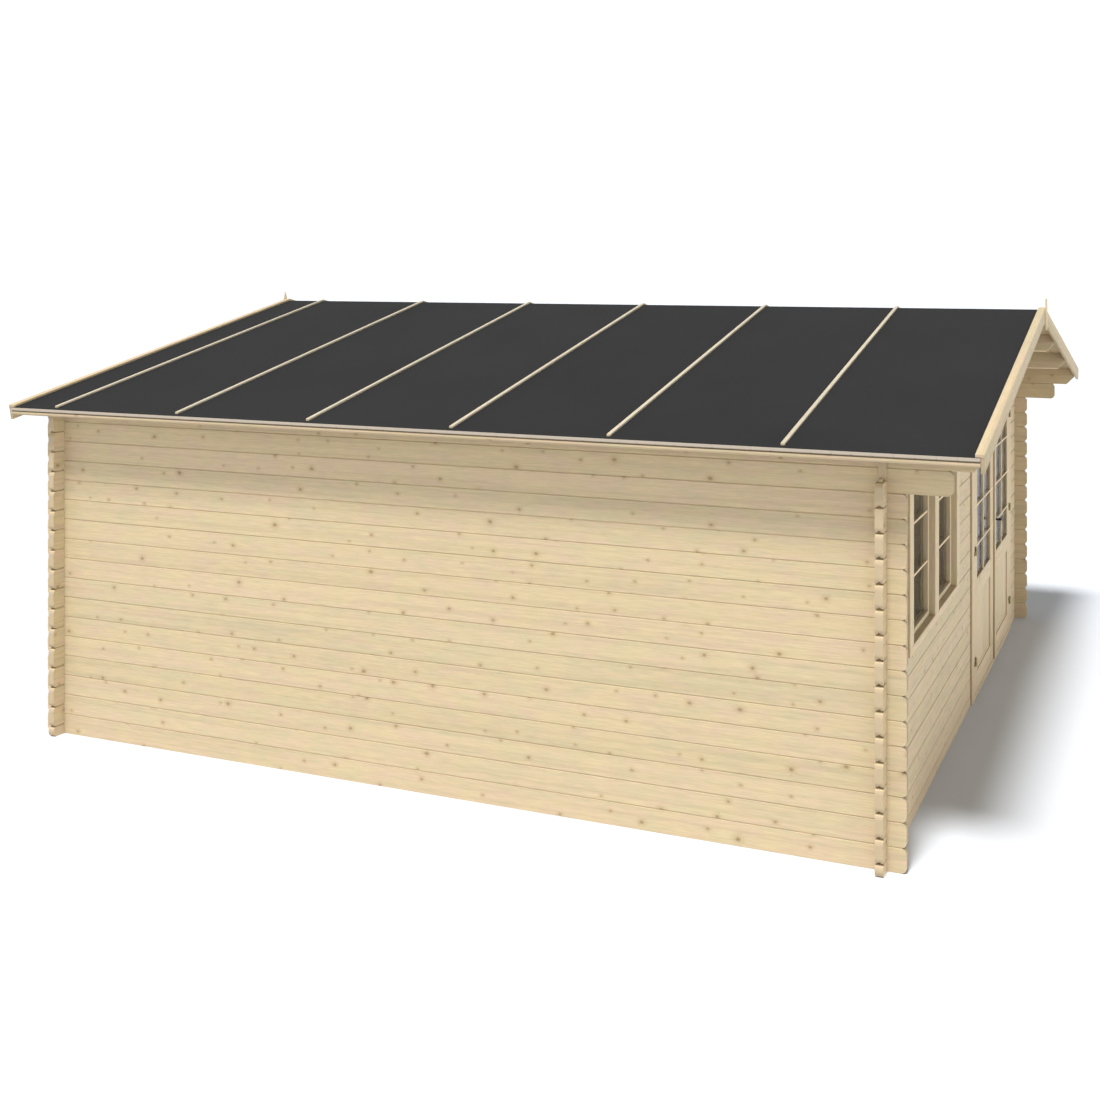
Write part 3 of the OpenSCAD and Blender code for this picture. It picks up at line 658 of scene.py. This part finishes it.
class Stock:
    """Raw material for one piece: a bmesh and the cuts that a joiner makes."""

    MERGE: ClassVar[float] = 1e-5
    FLAT: ClassVar[float] = math.radians(0.5)
    SHARP: ClassVar[float] = math.radians(30)
    CREASE: ClassVar[float] = math.radians(32)
    HEAD_TAPER: ClassVar[float] = 0.8

    def __init__(self) -> None:
        """Start with nothing."""
        self.bm = bmesh.new()

    @classmethod
    def from_node(cls, name: str) -> "Stock":
        """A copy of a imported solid, with its loose triangles joined into whole faces.

        Args:
            name: the node to copy.

        Returns:
            The copy.
        """
        stock = cls()
        stock.bm.from_mesh(bpy.data.objects[name].data)
        bmesh.ops.remove_doubles(stock.bm, verts=stock.bm.verts, dist=cls.MERGE)
        bmesh.ops.dissolve_limit(stock.bm, angle_limit=cls.FLAT, verts=stock.bm.verts, edges=stock.bm.edges)
        return stock

    def solids(self) -> list[Box]:
        """Boxes of the separate solids, in order of their places.

        Returns:
            The lowest and highest corner of each.
        """
        left = set(self.bm.verts)
        boxes = []
        while left:
            edge = [left.pop()]
            found = list(edge)
            while edge:
                near = {e.other_vert(v) for v in edge for e in v.link_edges} & left
                left -= near
                edge = list(near)
                found += edge
            low = Vector(min(v.co[i] for v in found) for i in range(3))
            high = Vector(max(v.co[i] for v in found) for i in range(3))
            boxes.append((low, high))
        return sorted(boxes, key=lambda box: tuple(round(c, 4) for c in box[0]))

    def board(
        self, low: Sequence[float], high: Sequence[float], lean: float = 0.0
    ) -> list[bmesh.types.BMVert]:
        """Add a squared board.

        Args:
            low: its lowest corner, before it leans.
            high: its highest corner, before it leans.
            lean: rise in Z for a length in X.

        Returns:
            Its corners.
        """
        low, high = Vector(low), Vector(high)
        size, middle = high - low, (low + high) / 2
        place = Matrix(
            (
                (size.x, 0, 0, middle.x),
                (0, size.y, 0, middle.y),
                (lean * size.x, 0, size.z, middle.z),
                (0, 0, 0, 1),
            )
        )
        return bmesh.ops.create_cube(self.bm, size=1.0, matrix=place)["verts"]

    def ring(self, low: Vector, high: Vector, width: float) -> None:
        """Add a mitred frame in the XZ plane, as deep as the box.

        Args:
            low: lowest corner of its box.
            high: highest corner of its box.
            width: width of its members.
        """
        size, middle = high - low, (low + high) / 2
        turn = Matrix.Rotation(math.radians(90), 4, "X")
        spread = Matrix.Diagonal((size.x, size.z, 1, 1))
        place = Matrix.Translation((middle.x, low.y, middle.z)) @ turn @ spread
        grid = bmesh.ops.create_grid(self.bm, x_segments=1, y_segments=1, size=0.5, matrix=place)
        face = grid["verts"][0].link_faces[0]
        frame = bmesh.ops.inset_region(
            self.bm, faces=[face], thickness=width, use_boundary=True, use_even_offset=True
        )["faces"]
        bmesh.ops.delete(self.bm, geom=[face], context="FACES_ONLY")
        pulled = bmesh.ops.extrude_face_region(self.bm, geom=frame)["geom"]
        corners = [g for g in pulled if isinstance(g, bmesh.types.BMVert)]
        bmesh.ops.translate(self.bm, verts=corners, vec=(0, size.y, 0))

    def head(self, place: Matrix, radius: float, height: float, segments: int = 10) -> None:
        """Add the head of a nail or screw.

        Args:
            place: where its middle is, with Z out of the timber.
            radius: radius at its foot.
            height: how far it stands out, and how far it goes in.
            segments: sides of the head.
        """
        bmesh.ops.create_cone(
            self.bm,
            cap_ends=True,
            segments=segments,
            radius1=radius,
            radius2=radius * self.HEAD_TAPER,
            depth=2 * height,
            matrix=place,
        )

    def edges_of(self, verts: Iterable[bmesh.types.BMVert]) -> list[bmesh.types.BMEdge]:
        """Edges between the given corners."""
        kept = set(verts)
        self.bm.edges.index_update()
        found = {e for v in kept for e in v.link_edges if e.other_vert(v) in kept}
        return sorted(found, key=lambda e: e.index)

    def ease_edges(self, edges: Sequence[bmesh.types.BMEdge], width: float, segments: int = 2) -> None:
        """Take off arrises.

        Args:
            edges: the arrises.
            width: how far the cut reaches from the arris.
            segments: facets of the rounding.
        """
        bmesh.ops.bevel(
            self.bm,
            geom=list(edges),
            offset=width,
            offset_type="OFFSET",
            segments=segments,
            profile=0.5,
            affect="EDGES",
            clamp_overlap=True,
            material=-1,
        )

    def ease_all(self, width: float, segments: int = 2) -> None:
        """Take off every outward arris of the piece.

        Args:
            width: how far the cut reaches from the arris.
            segments: facets of the rounding.
        """
        outward = [e for e in self.bm.edges if e.is_manifold and e.is_convex]
        self.ease_edges([e for e in outward if e.calc_face_angle() > self.SHARP], width, segments)

    def piece(
        self,
        name: str,
        body: str,
        slot: Optional[str],
        finish: bpy.types.Material,
        stands_for: Optional[str] = None,
    ) -> bpy.types.Object:
        """Turn the stock into a piece of the cabin.

        Args:
            name: name of the piece.
            body: the body that it rides on.
            slot: not used.
            finish: its material.
            stands_for: the node that it replaces, if any.

        Returns:
            The piece.
        """
        if not self.bm.faces:
            raise ValueError(f"{name} has no faces")
        bmesh.ops.recalc_face_normals(self.bm, faces=self.bm.faces)
        mesh = bpy.data.meshes.new(name)
        for face in self.bm.faces:
            face.smooth = True
        self.bm.to_mesh(mesh)
        self.bm.free()
        mesh.set_sharp_from_angle(angle=self.CREASE)
        mesh.materials.append(finish)
        made = bpy.data.objects.new(name, mesh)
        bpy.context.scene.collection.objects.link(made)
        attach(made, body)
        if stands_for:
            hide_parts(stands_for)
        log.info("%s: %d faces on %s", name, len(mesh.polygons), body)
        return made


def dress(nodes: Iterable[str], finish: bpy.types.Material) -> None:
    """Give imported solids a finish.

    Args:
        nodes: the solids.
        finish: their material.
    """
    for name in nodes:
        materials = bpy.data.objects[name].data.materials
        if materials:
            materials[0] = finish
        else:
            materials.append(finish)
        log.info("%s: dressed in %s", name, finish.name)


def soften(
    node: str, body: str, slot: str, finish: bpy.types.Material, width: float, segments: int = 2
) -> bpy.types.Object:
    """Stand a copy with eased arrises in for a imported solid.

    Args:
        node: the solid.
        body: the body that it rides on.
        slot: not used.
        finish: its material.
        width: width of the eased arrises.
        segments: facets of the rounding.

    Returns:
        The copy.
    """
    stock = Stock.from_node(node)
    stock.ease_all(width, segments)
    return stock.piece(f"eased_{node}", body, slot, finish, node)


@dataclass
class LogWalls:
    """The walls of interlocking logs."""

    palette: Palette
    cross_walls: tuple[str, ...] = ("rear_wall", "front_left", "front_right", "front_gable")

    def build(self) -> None:
        """Dress both courses of every wall."""
        for wall, finish in (("left_wall", self.palette.long_logs), ("right_wall", self.palette.lee_logs)):
            dress(self._courses(wall), finish)
        for wall in self.cross_walls:
            dress(self._courses(wall), self.palette.cross_logs)

    @staticmethod
    def _courses(wall: str) -> list[str]:
        """The nodes of a wall's odd and even courses."""
        return [f"{wall}_logs_{course}" for course in ("odd", "even")]


@dataclass
class RoofSlope:
    """One slope of the roof: boards, felt and felt battens."""

    palette: Palette
    side: Side
    board_gap: float = 0.0006
    groove: float = 0.004
    batten_arris: float = 0.0015
    nail_gap: float = 0.30
    nail_r: float = 0.0045
    nail_h: float = 0.0012
    nail_sides: int = 8

    def build(self) -> None:
        """Make the boards and the nails, and dress the felt and its battens."""
        self._boards()
        self._battens()
        dress([f"{self.side.value}_roof_felt"], self.palette.felt)

    def _boards(self) -> None:
        """Split the deck into grooved boards that run down the slope."""
        node = f"{self.side.value}_roof_deck"
        low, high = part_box(node)
        lean = -self.side.sign * math.tan(ROOF_ANGLE)
        rise = (high.z - low.z) - abs(lean) * (high.x - low.x)
        middle = (low.z + high.z) / 2
        count = round((high.y - low.y) / BOARD_PITCH)
        pitch = (high.y - low.y) / count
        stock = Stock()
        grooves = []
        for i in range(count):
            start = low.y + i * pitch
            verts = stock.board(
                (low.x, start, middle - rise / 2),
                (high.x, start + pitch - self.board_gap, middle + rise / 2),
                lean,
            )
            under = [v for v in verts if v.co.z - lean * (v.co.x - (low.x + high.x) / 2) < middle]
            ridge = min(abs(v.co.x) for v in under) + pitch
            grooves += [e for e in stock.edges_of(under) if max(abs(v.co.x) for v in e.verts) > ridge]
        stock.ease_edges(grooves, self.groove, 1)
        stock.piece(f"{self.side.value}_roof_boards", CABIN, "roof_timber", self.palette.boards, node)

    def _battens(self) -> None:
        """Ease the felt battens and nail them down."""
        node = f"{self.side.value}_felt_battens"
        battens = Stock.from_node(node)
        boxes = battens.solids()
        battens.ease_all(self.batten_arris)
        battens.piece(f"eased_{node}", CABIN, "felt_batten", self.palette.felt_battens, node)
        nails = Stock()
        turn = Matrix.Rotation(self.side.sign * ROOF_ANGLE, 4, "Y")
        for low, high in boxes:
            inner, outer = sorted((low.x, high.x), key=abs)
            count = round(abs(outer - inner) / self.nail_gap)
            for i in range(count):
                x = inner + (outer - inner) * (i + 0.5) / count
                z = high.z - abs(x) * math.tan(ROOF_ANGLE)
                place = Matrix.Translation((x, (low.y + high.y) / 2, z)) @ turn
                nails.head(place, self.nail_r, self.nail_h, self.nail_sides)
        nails.piece(f"{self.side.value}_batten_nails", CABIN, None, self.palette.zinc)


@dataclass
class RoofTrim:
    """Purlins, eave battens, bargeboards and finials."""

    palette: Palette
    arris: float = 0.002
    packing_h: float = 0.007
    packing_back: float = 0.008
    eave_chamfer: float = 0.009
    screw_r: float = 0.0045
    screw_h: float = 0.0008
    screw_rise: float = 0.026
    screw_xs: tuple[float, ...] = (0.92, 1.84, 2.74)

    def build(self) -> None:
        """Ease the timbers and screw the verges on."""
        for node in ("ridge_purlin", "side_purlins"):
            soften(node, CABIN, "roof_timber", self.palette.purlins, self.arris)
        self._eaves()
        for node in ("left_bargeboards", "right_bargeboards"):
            soften(node, CABIN, "trim_board", self.palette.slope_trim, self.arris)
        soften("finials", CABIN, "trim_board", self.palette.uprights, self.arris)
        self._screws()

    def _eaves(self) -> None:
        """Make the eave battens, held off the roof boards by a narrow packing whose dark finish is painted
        shade.
        """
        lean = math.tan(ROOF_ANGLE)
        battens, packings = Stock(), Stock()
        for low, high in Stock.from_node("eave_battens").solids():
            side = Side.LEFT if high.x < 0 else Side.RIGHT
            inner, outer = sorted((low.x, high.x), key=abs)
            under = high.z - lean * (high.x - low.x)
            face = under - self.packing_h
            verts = battens.board((low.x, low.y, low.z), (high.x, high.y, face))
            edge = [v for v in verts if v.co.z < face - Stock.MERGE and abs(v.co.x - outer) < Stock.MERGE]
            battens.ease_edges(battens.edges_of(edge), self.eave_chamfer, 1)
            back = outer - side.sign * self.packing_back
            near, far = sorted((inner, back))
            top = high.z - lean * (far - near) / 2
            packings.board((near, low.y, face - self.packing_h), (far, high.y, top), -side.sign * lean)
        battens.piece("eave_battens_chamfered", CABIN, "trim_board", self.palette.eaves, "eave_battens")
        packings.piece("eave_packings", CABIN, "trim_board", self.palette.packing)

    def _screws(self) -> None:
        """Put two screws through each bargeboard at every timber behind it."""
        low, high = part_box("left_bargeboards")
        board = (high.z - low.z) - math.tan(ROOF_ANGLE) * (high.x - low.x)
        stock = Stock()
        for y, facing in ((low.y, 90), (high.y, -90)):
            turn = Matrix.Rotation(math.radians(facing), 4, "X")
            for x in self.screw_xs + tuple(-x for x in self.screw_xs):
                top = high.z - abs(x) * math.tan(ROOF_ANGLE)
                for z in (top - self.screw_rise, top - board + self.screw_rise):
                    stock.head(Matrix.Translation((x, y, z)) @ turn, self.screw_r, self.screw_h)
        stock.piece("bargeboard_screws", CABIN, None, self.palette.zinc)


@dataclass
class Glazing:
    """Bars and beads round one pane.

    Attributes:
        stand: distance of the level bars' outer face from the pane.
        upright_stand: how far the upright bars stand off the pane.
        inside: how far the beads stand off the pane.
        heights: heights of the level bars over the ground.
        columns: columns of small panes.
        level_h: height of a level bar.
        level_t: thickness of a level bar.
        upright_w: width of an upright bar.
        rebate: how far the pane reaches into its rebate.
        housing: how far the bars go into the timber, and the beads past the edge of the pane.
        seat: clearance between the timber and the pane.
        lip: how far the beads show past the edge of the sash.
        arris: width of the eased arrises of the bars.
    """

    stand: float
    upright_stand: float
    inside: float
    heights: tuple[float, ...]
    columns: int
    level_h: float = 0.012
    level_t: float = 0.005
    upright_w: float = 0.018
    rebate: float = 0.009
    housing: float = 0.002
    seat: float = 0.0003
    lip: float = 0.003
    arris: float = 0.001

    def bars(self, stock: Stock, pane: Box, ends: Optional[tuple[float, float]] = None) -> None:
        """Add the bars in front of a pane.

        Args:
            stock: where the bars go.
            pane: box of the pane.
            ends: where the level bars end, if they run on over the stiles.
        """
        low, high = pane
        x0, x1 = low.x + self.rebate - self.housing, high.x - self.rebate + self.housing
        z0, z1 = low.z + self.rebate - self.housing, high.z - self.rebate + self.housing
        outer = low.y - self.stand
        left, right = ends or (x0, x1)
        for z in self.heights:
            size = Vector((right - left, self.level_t, self.level_h))
            start = Vector((left, outer, z - self.level_h / 2))
            self._bar(stock, start, start + size)
        for i in range(1, self.columns):
            x = x0 + (x1 - x0) * i / self.columns
            near, far = (low.y - self.upright_stand, low.y - self.seat)
            self._bar(stock, (x - self.upright_w / 2, near, z0), (x + self.upright_w / 2, far, z1))

    def _bar(self, stock: Stock, low: Sequence[float], high: Sequence[float]) -> None:
        """Add one bar with its long arrises taken off.

        Args:
            stock: where the bar goes.
            low: its lowest corner.
            high: its highest corner.
        """
        edges = stock.edges_of(stock.board(low, high))
        reach = max(e.calc_length() for e in edges) / 2
        stock.ease_edges([e for e in edges if e.calc_length() > reach], self.arris, 1)

    def beads(self, stock: Stock, pane: Box) -> None:
        """Add the mitred bead that holds a pane from inside.

        Args:
            stock: where the bead goes.
            pane: box of the pane.
        """
        low, high = pane
        near = high.y + self.seat
        stock.ring(
            Vector((low.x - self.housing, near, low.z - self.housing)),
            Vector((high.x + self.housing, near + self.inside, high.z + self.housing)),
            self.housing + self.rebate + self.lip,
        )


@dataclass
class Window:
    """The two-light window."""

    palette: Palette
    arris: float = 0.003
    glazing: Glazing = field(default_factory=lambda: Glazing(0.025, 0.021, 0.0065, (1.240, 1.522), 1))

    def build(self) -> None:
        """Ease the frame and sashes, and glaze them."""
        joinery = (
            ("window_posts", self.palette.uprights),
            ("window_rails", self.palette.rails),
            ("window_sash_stiles", self.palette.uprights),
            ("window_sash_rails", self.palette.rails),
        )
        for node, finish in joinery:
            soften(node, CABIN, "joinery", finish, self.arris)
        dress(["window_glass"], self.palette.glass)
        bars, beads = Stock(), Stock()
        for pane in Stock.from_node("window_glass").solids():
            self.glazing.bars(bars, pane)
            self.glazing.beads(beads, pane)
        bars.piece("window_bars", CABIN, "joinery", self.palette.bars)
        beads.piece("window_beads", CABIN, "joinery", self.palette.uprights)


@dataclass
class DoorFrame:
    """Posts, head and threshold of the double door."""

    palette: Palette
    arris: float = 0.003

    def build(self) -> None:
        """Ease the members."""
        soften("door_posts", CABIN, "joinery", self.palette.uprights, self.arris)
        soften("door_head", CABIN, "joinery", self.palette.rails, self.arris)
        soften("door_threshold", CABIN, "joinery", self.palette.rails, self.arris)


@dataclass
class DoorLeaf:
    """One leaf of the double door."""

    palette: Palette
    side: Side
    arris: float = 0.0025
    panel_arris: float = 0.0015
    panel_grip: float = 0.0117
    panel_half: float = 0.007
    mould_w: float = 0.018
    mould_back: float = 0.0085
    mould_round: float = 0.003
    mould_facets: int = 3
    glazing: Glazing = field(
        default_factory=lambda: Glazing(0.0155, 0.0125, 0.0185, (1.0185, 1.289, 1.565), 2)
    )
    bar_short: float = 0.004
    cover_w: float = 0.036
    cover_t: float = 0.013
    cover_arris: float = 0.002

    @property
    def body(self) -> str:
        """The body that the leaf is."""
        return self.side.door

    def build(self) -> None:
        """Ease the leaf's members, glaze it and frame its panel."""
        for part, finish in (("stiles", self.palette.uprights), ("rails", self.palette.rails)):
            soften(f"{self.body}_{part}", self.body, "joinery", finish, self.arris)
        soften(f"{self.body}_panel", self.body, "joinery", self.palette.uprights, self.panel_arris)
        dress([f"{self.body}_glass"], self.palette.glass)
        bars, beads = Stock(), Stock()
        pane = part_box(f"{self.body}_glass")
        low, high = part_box(f"{self.body}_stiles")
        self.glazing.bars(bars, pane, (low.x + self.bar_short, high.x - self.bar_short))
        self.glazing.beads(beads, pane)
        bars.piece(f"{self.body}_bars", self.body, "joinery", self.palette.bars)
        beads.piece(f"{self.body}_beads", self.body, "joinery", self.palette.uprights)
        self._mouldings()
        if self.side is Side.RIGHT:
            self._cover()

    def _cover(self) -> None:
        """Cover the meeting edge of the leaf with an eased strip."""
        low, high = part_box(f"{self.body}_stiles")
        stock = Stock()
        stock.board((low.x, low.y - self.cover_t, low.z), (low.x + self.cover_w, low.y, high.z))
        stock.ease_all(self.cover_arris)
        stock.piece(f"{self.body}_cover_strip", self.body, "joinery", self.palette.uprights)

    def _mouldings(self) -> None:
        """Frame the panel with a moulding on both faces."""
        low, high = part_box(f"{self.body}_panel")
        front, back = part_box(f"{self.body}_stiles")
        middle = (front.y + back.y) / 2
        start, end = low.x + self.panel_grip, high.x - self.panel_grip
        stock = Stock()
        faces = (
            (front.y + self.mould_back, middle - self.panel_half),
            (back.y - self.mould_back, middle + self.panel_half),
        )
        for outer, inner in faces:
            near, far = sorted((outer, inner))
            stock.ring(
                Vector((start, near, low.z + self.panel_grip)),
                Vector((end, far, high.z - self.panel_grip)),
                self.mould_w,
            )
            shown = [v for v in stock.bm.verts if abs(v.co.y - outer) < Stock.MERGE]
            inside = [v for v in shown if start + Stock.MERGE < v.co.x < end - Stock.MERGE]
            stock.ease_edges(stock.edges_of(inside), self.mould_round, self.mould_facets)
        stock.piece(f"{self.body}_mouldings", self.body, "joinery", self.palette.uprights)


@dataclass
class Ironmongery:
    """Hinges and the lever handle."""

    palette: Palette
    screw_r: float = 0.0035
    screw_h: float = 0.0006
    screw_share: float = 0.62
    screw_rise_shares: tuple[float, ...] = (0.25, 0.75)
    plate_h: float = 0.028
    plate_t: float = 0.003
    hinge_arris: float = 0.0005
    handle_arris: float = 0.0008

    def build(self) -> None:
        """Ease the hinges and handle, and add screws."""
        self._hinges("hinge_pins", CABIN)
        for side in Side:
            self._hinges(f"{side.value}_hinge_knuckles", side.door)
        handles = Stock.from_node("door_handles")
        handles.ease_all(self.handle_arris)
        handles.piece("eased_door_handles", Side.RIGHT.door, "black_metal", self.palette.iron, "door_handles")

    def _hinges(self, node: str, body: str) -> None:
        """Ease the hinge halves of one body and screw their plates on.

        Args:
            node: the hinge halves.
            body: the body that they ride on.
        """
        stock = Stock.from_node(node)
        boxes = stock.solids()
        stock.ease_all(self.hinge_arris, 1)
        stock.piece(f"eased_{node}", body, "hinge_brass", self.palette.brass, node)
        knuckles = [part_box(f"{side.value}_hinge_knuckles") for side in Side]
        leftmost, rightmost = knuckles[0][0].x, knuckles[1][1].x
        screws = Stock()
        for low, high in boxes:
            plate_y = high.y - self.plate_t
            on_left = abs(low.x - leftmost) < abs(high.x - rightmost)
            outwards = (body == CABIN) == on_left
            x = low.x + (high.x - low.x) * (1 - self.screw_share if outwards else self.screw_share)
            reach = min(self.plate_h, high.z - low.z)
            for share in self.screw_rise_shares:
                foot = Matrix.Translation((x, plate_y, low.z + reach * share))
                screws.head(foot @ Matrix.Rotation(math.radians(90), 4, "X"), self.screw_r, self.screw_h)
        screws.piece(f"{node}_screws", body, "hinge_brass", self.palette.brass)


@dataclass
class Studio:
    """The floor, the light and the camera."""

    floor_half: float = 400.0
    floor_cells: int = 8
    horizon: float = 1.7
    zenith: float = 0.40
    glow: tuple[float, float] = (0.2, 0.45)
    sun: float = 3.7
    floor_sun: float = 1.3
    sun_elevation: float = 64.2
    sun_width: float = 12.0
    eye: tuple[float, float, float] = (-9.7614, -3.7528, 2.9116)
    look: tuple[float, float, float] = (0.91415, 0.40539, 0.0)
    lens: float = 47.37
    sensor: float = 36.0
    drop: float = -0.2596
    view_end: float = 2000.0

    def build(self) -> None:
        """Lay the floor and set up light and camera."""
        self._sky()
        self._sun("Studio sun", self.sun)
        self._light_only(self._floor(), self._sun("Floor sun", self.floor_sun))
        self._camera()
        bpy.context.scene.view_settings.view_transform = "Standard"
        log.info("studio: ready")

    def _floor(self) -> bpy.types.Object:
        """Lay the pale floor just under the cabin.

        Returns:
            The floor.
        """
        bm = bmesh.new()
        cells = self.floor_cells
        bmesh.ops.create_grid(bm, x_segments=cells, y_segments=cells, size=self.floor_half)
        mesh = bpy.data.meshes.new("studio_floor")
        bm.to_mesh(mesh)
        bm.free()
        mesh.materials.append(Ground().build())
        floor = bpy.data.objects.new("studio_floor", mesh)
        bpy.context.scene.collection.objects.link(floor)
        return floor

    def _sky(self) -> None:
        """Set up a white sky that is brightest all round the horizon."""
        world = bpy.data.worlds.new("Studio sky")
        world.use_nodes = True
        graph = SkyGraph(world)
        _, _, height = graph.split(graph.node("ShaderNodeTexCoord", output="Generated"))
        graph.set(Color=(1.0, 1.0, 1.0), Strength=height.ease(*self.glow, self.horizon, self.zenith))
        bpy.context.scene.world = world

    def _sun(self, name: str, strength: float) -> bpy.types.Object:
        """Hang a broad sun on the left.

        Args:
            name: name of the lamp.
            strength: its strength.

        Returns:
            The lamp.
        """
        lamp = bpy.data.lights.new(name, "SUN")
        lamp.energy = strength
        lamp.angle = math.radians(self.sun_width)
        sun = bpy.data.objects.new(name, lamp)
        tilt = math.radians(self.sun_elevation)
        sun.rotation_mode = "QUATERNION"
        sun.rotation_quaternion = Vector((math.cos(tilt), 0, -math.sin(tilt))).to_track_quat("-Z", "Y")
        bpy.context.scene.collection.objects.link(sun)
        return sun

    @staticmethod
    def _light_only(thing: bpy.types.Object, lamp: bpy.types.Object) -> None:
        """Let a lamp shine on one thing alone.

        Args:
            thing: what it lights.
            lamp: the lamp.
        """
        lit = bpy.data.collections.new(f"Lit by {lamp.name}")
        lit.objects.link(thing)
        lamp.light_linking.receiver_collection = lit

    def _camera(self) -> None:
        """Stand the level camera off the near corner."""
        lens = bpy.data.cameras.new("Studio camera")
        lens.lens = self.lens
        lens.sensor_width = self.sensor
        lens.shift_y = self.drop
        lens.clip_end = self.view_end
        camera = bpy.data.objects.new("Studio camera", lens)
        camera.location = self.eye
        camera.rotation_mode = "QUATERNION"
        camera.rotation_quaternion = Vector(self.look).to_track_quat("-Z", "Y")
        bpy.context.scene.collection.objects.link(camera)
        bpy.context.scene.camera = camera


def main() -> None:
    """Build the dressed cabin in order."""
    logging.basicConfig(level=logging.INFO, format="%(name)s: %(message)s")
    for old in list(bpy.data.objects):
        bpy.data.objects.remove(old)
    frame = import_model()
    palette = Palette()
    LogWalls(palette).build()
    for side in Side:
        RoofSlope(palette, side).build()
    RoofTrim(palette).build()
    Window(palette).build()
    DoorFrame(palette).build()
    for side in Side:
        DoorLeaf(palette, side).build()
    Ironmongery(palette).build()
    Studio().build()


if __name__ == "__main__":
    main()
